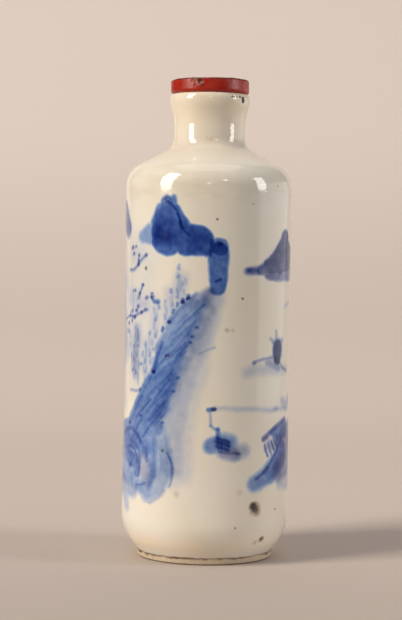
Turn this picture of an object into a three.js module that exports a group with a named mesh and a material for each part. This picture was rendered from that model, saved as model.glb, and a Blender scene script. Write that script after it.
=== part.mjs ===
// A cylindrical porcelain snuff bottle, closed by a flat glass stopper with a cork under it.
// Millimetres, +Z up. The origin is the centre of the foot, on the surface that the bottle stands on.
//
// The bottle is one thrown and turned piece: a bare foot ring, a curved heel, a nearly straight body with a
// slight waist, a rounded shoulder, a short neck and a rolled lip. It is hollow, and open at the mouth.
// The stopper is two pieces: the flat disc that rests on the lip, and the tapered cork that plugs the neck.
import * as THREE from 'three';

const RADIAL_SEGMENTS = 60;
const AXIS = 0;

// Heights above the table
const FOOT_HEIGHT = 1.15; // bare clay below the glaze line
const HEEL_TOP = 7.3; // the heel's curve meets the body
const WAIST_HEIGHT = 34;
const SHOULDER_START = 61.8; // the body turns in
const NECK_TOP = 72; // the lip flares out
const LIP_HEIGHT = 77.35; // the stopper rests here

// Outside radii
const FOOT_RADIUS = 11.3;
const HEEL_RADIUS = 14.0; // the widest part of the body
const WAIST_RADIUS = 13.8;
const SHOULDER_RADIUS = 13.9;
const NECK_RADIUS = 5.95;
const LIP_RADIUS = 6.68;

// Outside curves
const HEEL_CURVE = 8;
const HEEL_ANGLE = 34.2; // degrees that the heel leans out from the vertical
const SHOULDER_CURVE = 4.3;
const SHOULDER_ANGLE = 62; // degrees that the shoulder's slope turns from the vertical
const NECK_FILLET = 2.4;
const LIP_FLARE = 9;
const LIP_FLARE_ANGLE = 19;
const LIP_EDGE = 0.5; // how far the rim's round comes in from the lip's side
const LIP_ROUND = 0.95; // how far it comes down

// Foot ring
const RING_INNER_RADIUS = 9.5;
const RING_BEVEL = 0.15;
const RECESS_DEPTH = 0.9; // the base inside the ring is set up by this much
const GLAZE_STEP = 0.06; // the glaze stands proud of the bare clay

// Inside
const BORE_RADIUS = 3.3;
const MOUTH_ROUND = 0.6;
const WALL = 2.3;
const FLOOR_HEIGHT = 3.4;
const INNER_NECK_FILLET = 4;
const INNER_HEEL_CURVE = 5;

// Stopper
const CAP_RADIUS = 6.6;
const CAP_THICKNESS = 2.65; // at the centre of its low dome
const CAP_DOME = 0.15;
const CAP_TOP_ROUND = 0.4;
const CAP_BOTTOM_ROUND = 0.6;
const CAP_WOBBLE = 0.07; // the edge was ground by hand, so it is not a true circle
const CORK_TOP_RADIUS = 3.0;
const CORK_BOTTOM_RADIUS = 2.6;
const CORK_LENGTH = 6.35;
const CORK_BEVEL = 0.4;

const rad = THREE.MathUtils.degToRad;

/** A point of a profile: its radius from the axis and its height. */
function point(radius, height) {
  return new THREE.Vector2(radius, height);
}

/** Points along a part of an ellipse in a profile, from one angle to another, in degrees from the outward direction. */
function ellipse(centreRadius, centreHeight, across, up, from, to, steps) {
  const clockwise = to < from;
  return new THREE.EllipseCurve(centreRadius, centreHeight, across, up, rad(from), rad(to), clockwise)
    .getPoints(steps);
}

/** Points along an arc of a profile, from one angle to another, in degrees from the outward direction. */
function arc(centreRadius, centreHeight, curve, from, to, steps) {
  return ellipse(centreRadius, centreHeight, curve, curve, from, to, steps);
}

/** A closed solid turned about +Z from a profile that starts and ends on the axis. */
function turned(profile) {
  return new THREE.LatheGeometry(profile, RADIAL_SEGMENTS).rotateX(Math.PI / 2);
}

/** The underside: the recessed base, then the foot ring up to the glaze line. */
function footProfile() {
  return [
    point(AXIS, RECESS_DEPTH),
    point(RING_INNER_RADIUS - RECESS_DEPTH / 2, RECESS_DEPTH),
    point(RING_INNER_RADIUS, RING_BEVEL),
    point(RING_INNER_RADIUS + RING_BEVEL, 0),
    point(FOOT_RADIUS - 2 * RING_BEVEL, 0),
    point(FOOT_RADIUS - RING_BEVEL / 2, RING_BEVEL),
    point(FOOT_RADIUS, FOOT_HEIGHT),
  ];
}

/** The heel, the waisted body and the rounded shoulder. */
function bodyProfile() {
  const heel = arc(HEEL_RADIUS - HEEL_CURVE, HEEL_TOP, HEEL_CURVE, -HEEL_ANGLE, 0, 6);
  const body = new THREE.SplineCurve([
    heel[heel.length - 1],
    point(WAIST_RADIUS, WAIST_HEIGHT),
    point(SHOULDER_RADIUS, SHOULDER_START),
  ]).getPoints(6);
  const shoulder = arc(SHOULDER_RADIUS - SHOULDER_CURVE, SHOULDER_START, SHOULDER_CURVE, 0, SHOULDER_ANGLE, 8);
  return [point(FOOT_RADIUS + GLAZE_STEP, FOOT_HEIGHT + GLAZE_STEP), ...heel, ...body.slice(1), ...shoulder.slice(1)];
}

/** The height of a neck fillet's centre, so that the fillet is tangent to the slope through a point. */
function filletHeight(slopePoint, neckRadius, fillet) {
  const endRadius = neckRadius + fillet * (1 - Math.cos(rad(SHOULDER_ANGLE)));
  const rise = (slopePoint.x - endRadius) * Math.tan(rad(90 - SHOULDER_ANGLE));
  return slopePoint.y + rise + fillet * Math.sin(rad(SHOULDER_ANGLE));
}

/** The neck, from the end of the shoulder's slope to the flat top of the rolled lip. */
function neckProfile(slopePoint) {
  const start = filletHeight(slopePoint, NECK_RADIUS, NECK_FILLET);
  const fillet = arc(NECK_RADIUS + NECK_FILLET, start, NECK_FILLET, 180 + SHOULDER_ANGLE, 180, 6);
  const flare = arc(NECK_RADIUS + LIP_FLARE, NECK_TOP, LIP_FLARE, 180, 180 - LIP_FLARE_ANGLE, 3);
  const flareEnd = flare[flare.length - 1];
  const roll = (LIP_RADIUS - flareEnd.x) / (1 - Math.cos(rad(LIP_FLARE_ANGLE)));
  const rollHeight = flareEnd.y + roll * Math.sin(rad(LIP_FLARE_ANGLE));
  const lip = arc(LIP_RADIUS - roll, rollHeight, roll, -LIP_FLARE_ANGLE, 0, 3);
  const rim = ellipse(LIP_RADIUS - LIP_EDGE, LIP_HEIGHT - LIP_ROUND, LIP_EDGE, LIP_ROUND, 0, 90, 4);
  return [...fillet, ...flare, ...lip.slice(1), ...rim];
}

/** The inside, from the mouth down the neck's bore, out into the cavity and in to the middle of its floor. */
function insideProfile() {
  const cavityRadius = SHOULDER_RADIUS - WALL;
  const shoulder = arc(
    SHOULDER_RADIUS - SHOULDER_CURVE, SHOULDER_START, SHOULDER_CURVE - WALL, SHOULDER_ANGLE, 0, 4);
  const filletCentre = filletHeight(shoulder[0], BORE_RADIUS, INNER_NECK_FILLET);
  const mouth = arc(BORE_RADIUS + MOUTH_ROUND, LIP_HEIGHT - MOUTH_ROUND, MOUTH_ROUND, 90, 180, 3);
  const fillet = arc(
    BORE_RADIUS + INNER_NECK_FILLET, filletCentre, INNER_NECK_FILLET, 180, 180 + SHOULDER_ANGLE, 4);
  const heel = arc(
    cavityRadius - INNER_HEEL_CURVE, FLOOR_HEIGHT + INNER_HEEL_CURVE, INNER_HEEL_CURVE, 0, -90, 5);
  return [...mouth, ...fillet, ...shoulder, ...heel, point(AXIS, FLOOR_HEIGHT)];
}

/** The bottle's whole profile, closed on the axis below the base and above the floor. */
function bottleGeometry() {
  const body = bodyProfile();
  const slopePoint = body[body.length - 1];
  return turned([...footProfile(), ...body, ...neckProfile(slopePoint), ...insideProfile()]);
}

/** The stopper's disc, with rounded edges and a low dome. */
function capGeometry() {
  const bottom = LIP_HEIGHT;
  const rimTop = LIP_HEIGHT + CAP_THICKNESS - CAP_DOME;
  const geometry = turned([
    point(AXIS, bottom),
    ...arc(CAP_RADIUS - CAP_BOTTOM_ROUND, bottom + CAP_BOTTOM_ROUND, CAP_BOTTOM_ROUND, -90, 0, 3),
    ...arc(CAP_RADIUS - CAP_TOP_ROUND, rimTop - CAP_TOP_ROUND, CAP_TOP_ROUND, 0, 90, 3),
    point(CAP_RADIUS / 2, LIP_HEIGHT + CAP_THICKNESS - CAP_DOME / 4),
    point(AXIS, LIP_HEIGHT + CAP_THICKNESS),
  ]);
  return groundByHand(geometry);
}

/** Moves each point of the disc in or out a little with its angle, as hand grinding leaves it. */
function groundByHand(geometry) {
  const position = geometry.getAttribute('position');
  for (let i = 0; i < position.count; i += 1) {
    const x = position.getX(i);
    const y = position.getY(i);
    const angle = Math.atan2(y, x);
    const wave = (Math.cos(3 * angle) + Math.cos(7 * angle + 1) / 2) / 1.5;
    const scale = 1 - (CAP_WOBBLE * (1 + wave)) / 2 / CAP_RADIUS;
    position.setXY(i, x * scale, y * scale);
  }
  return geometry;
}

/** The cork, a plug that tapers down into the neck. */
function corkGeometry() {
  const bottom = LIP_HEIGHT - CORK_LENGTH;
  return turned([
    point(AXIS, bottom),
    point(CORK_BOTTOM_RADIUS - CORK_BEVEL, bottom),
    point(CORK_BOTTOM_RADIUS, bottom + CORK_BEVEL),
    point(CORK_TOP_RADIUS, LIP_HEIGHT),
    point(AXIS, LIP_HEIGHT),
  ]);
}

/** One named piece with its own material. */
function piece(name, geometry, color, roughness) {
  const mesh = new THREE.Mesh(geometry, new THREE.MeshStandardMaterial({ color, roughness, metalness: 0 }));
  mesh.name = name;
  return mesh;
}

const bottle = piece('bottle', bottleGeometry(), 0xe6dbc6, 0.12);
const stopperCap = piece('stopper_cap', capGeometry(), 0x9a1f12, 0.18);
const stopperCork = piece('stopper_cork', corkGeometry(), 0xa67b4f, 0.9);

const stopper = new THREE.Group();
stopper.add(stopperCap, stopperCork);

const snuffBottle = new THREE.Group();
snuffBottle.add(bottle, stopper);

export default snuffBottle;
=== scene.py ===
"""A porcelain snuff bottle, painted under the glaze with a river landscape, and its glass stopper.

Every size is in millimetres until a mesh is made, and the frame's own metres after that. The
painting is laid out on the bottle's unrolled wall: the first number of a place is the distance
around the wall from the middle of the front, growing to the right, and the second is the height
above the table.
"""

from __future__ import annotations

import logging
import math
import random
from collections.abc import Iterable, Mapping, Sequence
from dataclasses import dataclass
from enum import Enum

import bpy
import numpy as np
from mathutils import Matrix, Vector

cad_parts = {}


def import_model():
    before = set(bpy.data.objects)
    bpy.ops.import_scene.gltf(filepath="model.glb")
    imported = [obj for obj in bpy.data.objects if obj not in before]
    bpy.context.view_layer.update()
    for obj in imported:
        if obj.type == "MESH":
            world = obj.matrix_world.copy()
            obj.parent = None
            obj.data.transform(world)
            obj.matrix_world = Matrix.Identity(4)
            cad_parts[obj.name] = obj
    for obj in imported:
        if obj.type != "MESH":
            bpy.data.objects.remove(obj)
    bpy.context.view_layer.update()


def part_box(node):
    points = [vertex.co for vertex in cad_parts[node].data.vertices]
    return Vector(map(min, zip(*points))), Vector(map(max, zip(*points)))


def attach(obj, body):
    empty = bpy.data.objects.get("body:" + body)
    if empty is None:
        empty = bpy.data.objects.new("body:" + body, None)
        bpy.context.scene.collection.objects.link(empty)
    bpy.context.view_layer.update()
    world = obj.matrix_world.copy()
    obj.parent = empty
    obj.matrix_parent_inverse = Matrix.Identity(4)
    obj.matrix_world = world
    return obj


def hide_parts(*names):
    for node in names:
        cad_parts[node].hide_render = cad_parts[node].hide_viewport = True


LOG = logging.getLogger("snuff_bottle")
MM = 0.001
BODY = "root"

# A dab of the brush, as shares of its size, and its lift as a share of its reach
DAB_REACH = 0.18
DAB_LIFT = 0.4
DAB_START = 0.8
DAB_END = 0.7

Place = tuple[float, float]
Colour = tuple[float, float, float]


# --------------------------------------------------------------------------------------------------
# Node trees
# --------------------------------------------------------------------------------------------------


class Graph:
    """Adds nodes to a tree and links them, so that a finish reads as a few short calls."""

    def __init__(self, tree: bpy.types.NodeTree) -> None:
        """Works on one tree.

        Args:
            tree: the shader or geometry tree that the nodes are added to.
        """
        self.tree = tree

    def node(
        self, kind: str, inputs: Mapping[int | str, object] | None = None, **settings: object
    ) -> bpy.types.Node:
        """Adds a node, sets it up and feeds its inputs.

        Args:
            kind: the node's type.
            inputs: what goes into each input, by name or number: a socket or a plain value.
            settings: the node's own options.

        Returns:
            The new node.
        """
        node = self.tree.nodes.new(kind)
        for name, value in settings.items():
            setattr(node, name, value)
        self.feed(node, inputs or {})
        return node

    def feed(self, node: bpy.types.Node, inputs: Mapping[int | str, object]) -> None:
        """Links each socket to the input that it is for, and sets each plain value there."""
        for key, value in inputs.items():
            if isinstance(value, bpy.types.NodeSocket):
                self.tree.links.new(value, node.inputs[key])
            else:
                node.inputs[key].default_value = value

    def math(self, operation: str, *values: object, clamp: bool = False) -> bpy.types.NodeSocket:
        """The result of a sum on numbers."""
        node = self.node("ShaderNodeMath", dict(enumerate(values)), operation=operation,
                         use_clamp=clamp)
        return node.outputs[0]

    def vector(self, operation: str, *values: object) -> bpy.types.NodeSocket:
        """The result of a sum on vectors: a number for a length, a distance or a dot product."""
        node = self.node("ShaderNodeVectorMath", dict(enumerate(values)), operation=operation)
        plain = operation in ("LENGTH", "DISTANCE", "DOT_PRODUCT")
        return node.outputs["Value" if plain else "Vector"]

    def scaled(self, vector: object, factor: object) -> bpy.types.NodeSocket:
        """A vector times a number."""
        inputs = {0: vector, "Scale": factor}
        return self.node("ShaderNodeVectorMath", inputs, operation="SCALE").outputs[0]

    def together(self, **axes: object) -> bpy.types.NodeSocket:
        """A vector from its X, Y and Z, with 0 for any that isn't given."""
        return self.node("ShaderNodeCombineXYZ", axes).outputs[0]

    def apart(self, vector: object) -> bpy.types.bpy_prop_collection:
        """A vector's X, Y and Z."""
        return self.node("ShaderNodeSeparateXYZ", {0: vector}).outputs

    def ranged(
        self, value: object, source: tuple[object, object],
        target: tuple[object, object] = (0.0, 1.0)
    ) -> bpy.types.NodeSocket:
        """Moves a value smoothly from one range to another, and holds it at the ends.

        Args:
            value: the number to move.
            source: where the range starts and ends.
            target: what the start and the end become.

        Returns:
            The moved value.
        """
        inputs = {"Value": value, "From Min": source[0], "From Max": source[1]}
        inputs |= {"To Min": target[0], "To Max": target[1]}
        node = self.node("ShaderNodeMapRange", inputs, interpolation_type="SMOOTHSTEP", clamp=False)
        return node.outputs[0]

    def band(self, value: object, rise: Place, fall: Place) -> bpy.types.NodeSocket:
        """1 between the end of the rise and the end of the fall, and 0 beyond their starts."""
        return self.math("MULTIPLY", self.ranged(value, rise), self.ranged(value, fall))

    def mixed(self, share: object, first: object, second: object) -> bpy.types.NodeSocket:
        """A blend of two colours, all first at 0 and all second at 1."""
        inputs = {0: share, 6: _opaque(first), 7: _opaque(second)}
        return self.node("ShaderNodeMix", inputs, data_type="RGBA").outputs[2]

    def noise(
        self, place: object, scale: float, detail: float = 2.0, seed: float = 0.0
    ) -> bpy.types.Node:
        """Cloudy noise through space, with a seed as its fourth dimension."""
        inputs = {"Vector": place, "Scale": scale, "Detail": detail, "W": seed}
        return self.node("ShaderNodeTexNoise", inputs, noise_dimensions="4D")

    def group(self, tree: bpy.types.NodeTree, inputs: Mapping[str, object]) -> bpy.types.Node:
        """Places a node group and feeds it."""
        return self.node("ShaderNodeGroup", inputs, node_tree=tree)


def _opaque(colour: object) -> object:
    """A plain colour with an alpha of 1, and a socket as it is."""
    return (*colour, 1.0) if isinstance(colour, tuple) and len(colour) == 3 else colour


def new_group(
    name: str, inputs: Mapping[str, str], outputs: Mapping[str, str]
) -> tuple[Graph, bpy.types.bpy_prop_collection, bpy.types.Node]:
    """Starts a shader node group.

    Args:
        name: the group's name.
        inputs: the type of each input, by its name.
        outputs: the type of each output, by its name.

    Returns:
        The group's graph, the sockets of its inputs, and the node that takes its outputs.
    """
    tree = bpy.data.node_groups.new(name, "ShaderNodeTree")
    for socket, kind in inputs.items():
        tree.interface.new_socket(socket, in_out="INPUT", socket_type=f"NodeSocket{kind}")
    for socket, kind in outputs.items():
        tree.interface.new_socket(socket, in_out="OUTPUT", socket_type=f"NodeSocket{kind}")
    graph = Graph(tree)
    return graph, graph.node("NodeGroupInput").outputs, graph.node("NodeGroupOutput")


class Effects:
    """The shader effects that the finishes share, each built once as a node group."""

    NOISE_SPAN = (0.3, 0.7)  # nearly all of the noise lies in this range
    FAINT_INK = (0.0, 0.4)  # the ink's cool tint comes in over this range
    INK_TINT = (0.9, 0.97, 1.15)

    def __init__(self) -> None:
        """Builds the groups."""
        self.mottle = self._mottle()
        self.speck = self._speck()
        self.stroke = self._stroke()
        self.fired = self._fired()

    @staticmethod
    def _mottle() -> bpy.types.NodeTree:
        """Uneven strength: cloudy noise, moved to the range from Low to High."""
        kinds = {"Position": "Vector", "Scale": "Float", "Detail": "Float", "Seed": "Float"}
        kinds |= {"Low": "Float", "High": "Float"}
        graph, given, result = new_group("Mottle", kinds, {"Value": "Float"})
        cloud = graph.noise(given["Position"], given["Scale"], given["Detail"],
                            given["Seed"]).outputs[0]
        span = (given["Low"], given["High"])
        graph.feed(result, {"Value": graph.ranged(cloud, Effects.NOISE_SPAN, span)})
        return graph.tree

    @staticmethod
    def _speck() -> bpy.types.NodeTree:
        """A round spot in space, laid over what is already there."""
        kinds = {"Position": "Vector", "Centre": "Vector", "Radius": "Float", "Softness": "Float"}
        kinds |= {"Strength": "Float", "Under": "Float"}
        graph, given, result = new_group("Speck", kinds, {"Mask": "Float"})
        gap = graph.vector("DISTANCE", given["Position"], given["Centre"])
        edge = graph.math("SUBTRACT", gap, given["Radius"])
        mask = graph.ranged(edge, (given["Softness"], 0.0), (0.0, given["Strength"]))
        graph.feed(result, {"Mask": graph.math("MAXIMUM", given["Under"], mask)})
        return graph.tree

    @staticmethod
    def _stroke() -> bpy.types.NodeTree:
        """One touch of a brush: straight, round at both ends, tapered from its start to its end."""
        kinds = {"Point": "Vector", "Start": "Vector", "Along": "Vector", "Start Radius": "Float"}
        kinds |= {"Widening": "Float", "Softness": "Float", "Ink": "Float", "Under": "Float"}
        graph, given, result = new_group("Brush stroke", kinds, {"Ink": "Float"})
        offset = graph.vector("SUBTRACT", given["Point"], given["Start"])
        reach = graph.vector("DOT_PRODUCT", offset, given["Along"])
        length = graph.vector("DOT_PRODUCT", given["Along"], given["Along"])
        share = graph.node("ShaderNodeClamp", {0: graph.math("DIVIDE", reach, length)}).outputs[0]
        aside = graph.vector("SUBTRACT", offset, graph.scaled(given["Along"], share))
        radius = graph.math("MULTIPLY_ADD", share, given["Widening"], given["Start Radius"])
        edge = graph.math("SUBTRACT", graph.vector("LENGTH", aside), radius)
        cover = graph.ranged(edge,
                             (given["Softness"], graph.math("MULTIPLY", given["Softness"], -1.0)),
                             (0.0, given["Ink"]))
        graph.feed(result, {"Ink": graph.math("MAXIMUM", given["Under"], cover)})
        return graph.tree

    @staticmethod
    def _fired() -> bpy.types.NodeTree:
        """The glaze's colour over fired ink: cooler where there is any, darker where more is."""
        kinds = {"Glaze": "Color", "Absorbed": "Vector"}
        graph, given, result = new_group("Fired ink", kinds, {"Colour": "Color"})
        amount = graph.apart(given["Absorbed"])
        left = [graph.math("EXPONENT", graph.math("MULTIPLY", value, -1.0)) for value in amount]
        passed = graph.node("ShaderNodeCombineXYZ", dict(enumerate(left))).outputs[0]
        tint = graph.mixed(graph.ranged(amount["X"], Effects.FAINT_INK), (1.0, 1.0, 1.0),
                           Effects.INK_TINT)
        shade = graph.vector("MULTIPLY", passed, tint)
        graph.feed(result, {"Colour": graph.vector("MULTIPLY", given["Glaze"], shade)})
        return graph.tree


# --------------------------------------------------------------------------------------------------
# The painting
# --------------------------------------------------------------------------------------------------


class Ink(Enum):
    """The layers of the painting: how strongly each takes up red, green and blue, and how finely.

    Layers add up where they cross, as washes of cobalt do. Within one layer the strongest stroke
    wins. The last value of a layer says whether it is drawn finely, so that its edges shake less.
    """

    HAZE = ("haze", (3.1, 2.45, 1.15), False)
    WASH = ("wash", (3.4, 2.35, 0.88), False)
    MIST = ("mist", (3.0, 2.55, 1.65), False)
    SLATE = ("slate", (3.0, 2.7, 1.5), False)
    TONE = ("tone", (3.4, 2.45, 1.0), True)
    LINE = ("line", (3.0, 2.85, 1.6), True)

    @property
    def absorption(self) -> Colour:
        """How strongly full ink takes up each colour of light."""
        return self.value[1]

    @property
    def is_fine(self) -> bool:
        """Whether the ink is drawn with a fine brush, whose edges stay steadier."""
        return self.value[2]


@dataclass(frozen=True)
class Stroke:
    """One touch of the brush on the unrolled wall."""

    start: Place
    end: Place
    start_width: float
    end_width: float
    ink: Ink
    strength: float = 1.0
    softness: float = 0.25


def drawn(
    places: Sequence[Place], widths: tuple[float, float], ink: Ink, strength: float = 1.0,
    softness: float = 0.2
) -> list[Stroke]:
    """A line through several places, as strokes that meet end to end.

    Args:
        places: where the brush goes.
        widths: how wide the line is at its start and at its end.
        ink: the layer it belongs to.
        strength: how much ink it carries.
        softness: how far the edge bleeds into the glaze.

    Returns:
        The strokes, one between each place and the next.
    """
    count = len(places) - 1
    width = [widths[0] + (widths[1] - widths[0]) * i / count for i in range(count + 1)]
    return [
        Stroke(places[i], places[i + 1], width[i], width[i + 1], ink, strength, softness)
        for i in range(count)
    ]


def dab(
    place: Place, size: float, ink: Ink, strength: float = 1.0, softness: float = 0.2
) -> Stroke:
    """A dot of the brush's tip, a little wider than it is high."""
    reach = size * DAB_REACH
    start = (place[0] - reach, place[1])
    end = (place[0] + reach, place[1] + reach * DAB_LIFT)
    return Stroke(start, end, size * DAB_START, size * DAB_END, ink, strength, softness)


def dabs(places: Iterable[Place], size: float, ink: Ink, strength: float) -> list[Stroke]:
    """Dots of one size at several places."""
    return [dab(place, size, ink, strength) for place in places]


def curve(centre: Place, radius: float, start: float, end: float, steps: int = 4) -> list[Place]:
    """Places along an arc.

    Args:
        centre: the arc's centre.
        radius: its radius.
        start: the angle it starts at, in degrees from the right, turning left.
        end: the angle it ends at.
        steps: how many straight stretches stand for it.

    Returns:
        The places, from the start to the end.
    """
    angles = [math.radians(start + (end - start) * i / steps) for i in range(steps + 1)]
    return [(centre[0] + radius * math.cos(a), centre[1] + radius * math.sin(a)) for a in angles]


def between(start: Place, end: Place, share: float) -> Place:
    """The place a share of the way from one place to another."""
    return (start[0] + (end[0] - start[0]) * share, start[1] + (end[1] - start[1]) * share)


def along(places: Sequence[Place], share: float) -> Place:
    """The place a share of the way along a line, counting each of its stretches alike."""
    whole = share * (len(places) - 1)
    step = min(int(whole), len(places) - 2)
    return between(places[step], places[step + 1], whole - step)


def shifted(
    strokes: Iterable[Stroke], move: Place, scale: float = 1.0, mirror: bool = False
) -> list[Stroke]:
    """Repeats a motif elsewhere on the wall.

    Args:
        strokes: the motif's strokes.
        move: how far it moves, after scaling.
        scale: how much larger it is.
        mirror: whether left and right change places.

    Returns:
        The moved strokes.
    """
    sign = -1.0 if mirror else 1.0

    def moved(place: Place) -> Place:
        return (sign * scale * place[0] + move[0], scale * place[1] + move[1])

    return [
        Stroke(moved(s.start), moved(s.end), s.start_width * scale, s.end_width * scale, s.ink,
               s.strength, s.softness)
        for s in strokes
    ]


@dataclass(frozen=True)
class CragMountain:
    """The tall dark mountain on the left, with a boulder and a cliff down to the river bank."""

    summit: Place = (-6.9, 59.0)
    heart: Place = (-7.5, 54.4)
    ridge_end: Place = (-3.0, 53.8)
    saddle: Place = (-0.2, 52.6)
    boulder: Place = (1.8, 51.9)
    cliff_foot: Place = (1.7, 45.5)
    pale_foot: Place = (-12.2, 53.5)

    def strokes(self) -> list[Stroke]:
        """The mountain's washes, its dark hollows and the line of its ridge."""
        return self._washes() + self._hollows() + self._ridge()

    def _washes(self) -> list[Stroke]:
        """The body of the mountain and the cliff, in the brush's broad side."""
        heart, saddle = self.heart, self.saddle
        return [
            Stroke(self.pale_foot, (-10.6, 53.9), 2.0, 3.2, Ink.WASH, 0.32, 0.5),
            Stroke((-9.2, 55.6), (-8.3, 58.2), 2.0, 1.4, Ink.WASH, 0.56, 0.4),
            Stroke(self.summit, heart, 2.5, 5.4, Ink.WASH, 0.7, 0.35),
            Stroke((-5.75, 59.9), (-6.0, 58.4), 0.8, 1.8, Ink.WASH, 0.6, 0.35),
            Stroke((-5.7, 57.6), (-4.9, 55.4), 2.6, 3.8, Ink.WASH, 0.74, 0.3),
            Stroke((heart[0], 53.3), (heart[0] + 0.8, 53.0), 5.0, 5.0, Ink.WASH, 0.74, 0.35),
            Stroke((-4.9, 54.4), (-3.8, 53.3), 4.4, 4.8, Ink.WASH, 0.82, 0.35),
            Stroke((-3.4, 53.0), (-1.5, 52.9), 5.0, 4.9, Ink.WASH, 0.84, 0.3),
            Stroke((-1.5, 52.8), (saddle[0] + 0.1, saddle[1] - 0.9), 4.8, 2.6, Ink.WASH, 0.84,
                   0.35),
            Stroke((self.boulder[0], 51.0), (self.boulder[0], 49.4), 3.5, 3.4, Ink.WASH, 0.7, 0.3),
            Stroke((self.boulder[0], 49.4), self.cliff_foot, 3.4, 2.5, Ink.WASH, 0.7, 0.35),
            Stroke((-6.9, 57.6), (-6.6, 54.2), 1.6, 4.4, Ink.SLATE, 0.14, 1.0),
            Stroke((-5.4, 53.6), (-1.0, 52.6), 4.4, 3.6, Ink.SLATE, 0.12, 0.9),
        ]

    def _hollows(self) -> list[Stroke]:
        """A second wash in the mountain's hollows and over the boulder."""
        return [
            Stroke((-7.9, 56.6), (-7.4, 53.8), 2.2, 4.2, Ink.TONE, 0.24, 1.2),
            Stroke((-4.4, 54.6), (-1.6, 52.6), 1.6, 3.0, Ink.TONE, 0.12, 1.0),
            Stroke((-9.1, 55.6), (-8.5, 53.6), 0.9, 2.4, Ink.LINE, 0.3, 0.9),
            Stroke((-8.9, 53.6), (-7.2, 53.2), 1.6, 1.8, Ink.LINE, 0.34, 0.9),
            Stroke((-9.0, 57.6), (-9.6, 55.0), 0.4, 0.9, Ink.LINE, 0.22, 0.4),
            Stroke((1.8, 52.05), (1.95, 52.0), 2.8, 2.8, Ink.TONE, 0.48, 0.25),
            Stroke((0.45, 53.0), (0.4, 50.6), 0.5, 0.4, Ink.TONE, 0.4, 0.25),
            dab((2.0, 52.35), 0.6, Ink.LINE, 0.5, 0.3),
        ]

    def _ridge(self) -> list[Stroke]:
        """The dark line that winds down from the summit, and a short mark on the cliff."""
        ridge = [(-7.4, 59.4), (-6.1, 58.7), (-5.2, 57.7), (-4.7, 56.4), (-4.4, 55.2), (-3.9, 54.4),
                 self.ridge_end]
        return [
            *drawn(ridge, (0.3, 0.45), Ink.TONE, 0.55, 0.25),
            *drawn([(-5.0, 57.2), (-4.6, 56.0), (-4.3, 55.0)], (0.4, 0.5), Ink.LINE, 0.3, 0.25),
            Stroke((1.4, 46.4), (2.1, 46.8), 0.3, 0.4, Ink.TONE, 0.5, 0.2),
            Stroke((-7.8, 59.5), (-7.1, 59.9), 0.4, 0.5, Ink.SLATE, 0.2, 0.4),
        ]


@dataclass(frozen=True)
class FarMountain:
    """A distant mountain in grey-blue, with one long slope that runs down to a dark point."""

    summit: Place = (16.0, 53.4)
    base_height: float = 48.2
    point: Place = (6.8, 48.1)
    far_side: float = 21.0
    strength: float = 0.86

    def strokes(self) -> list[Stroke]:
        """The mountain's wash in a few wide strokes, its darker middle and its dark point."""
        peak, base, tip = self.summit, self.base_height, self.point
        full, pale = self.strength, self.strength * 0.7
        body = [
            Stroke(peak, (peak[0] - 0.5, base + 2.6), 3.0, 6.0, Ink.SLATE, full, 0.35),
            Stroke((peak[0] + 0.6, base + 2.4), (self.far_side, base + 1.4), 5.4, 3.2, Ink.SLATE,
                   full, 0.4),
            Stroke((peak[0] - 2.2, base + 1.5), (tip[0] + 4.2, base + 0.6), 4.6, 2.4, Ink.SLATE,
                   full, 0.3),
            Stroke((tip[0] + 4.2, base + 0.4), (tip[0] + 2.4, base), 2.0, 1.4, Ink.SLATE,
                   full * 0.8, 0.35),
            Stroke((tip[0] + 2.4, base), (tip[0] - 0.2, base - 0.1), 1.3, 1.1, Ink.SLATE,
                   full * 0.56, 0.4),
            Stroke((tip[0] + 4.2, base - 0.5), (peak[0] - 2.6, base - 0.6), 1.8, 2.4, Ink.SLATE,
                   pale, 0.35),
            Stroke((peak[0] - 2.6, base - 0.6), (self.far_side, base - 0.8), 2.4, 1.6, Ink.SLATE,
                   pale * 0.75, 0.4),
        ]
        shade = [
            Stroke((peak[0] - 0.8, base + 3.6), (peak[0] - 4.6, base + 1.2), 3.4, 1.8, Ink.LINE,
                   full * 0.2, 0.9),
            Stroke((tip[0] + 3.8, base + 1.3), (tip[0] + 2.5, base + 0.5), 0.7, 0.9, Ink.TONE,
                   full * 0.36, 0.35),
            Stroke((tip[0] + 2.2, base), (tip[0] + 0.6, base), 0.6, 0.7, Ink.TONE, full * 0.3,
                   0.35),
            dab((tip[0] + 0.3, base), 0.8, Ink.TONE, full * 0.5, 0.35),
        ]
        return body + shade


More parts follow.
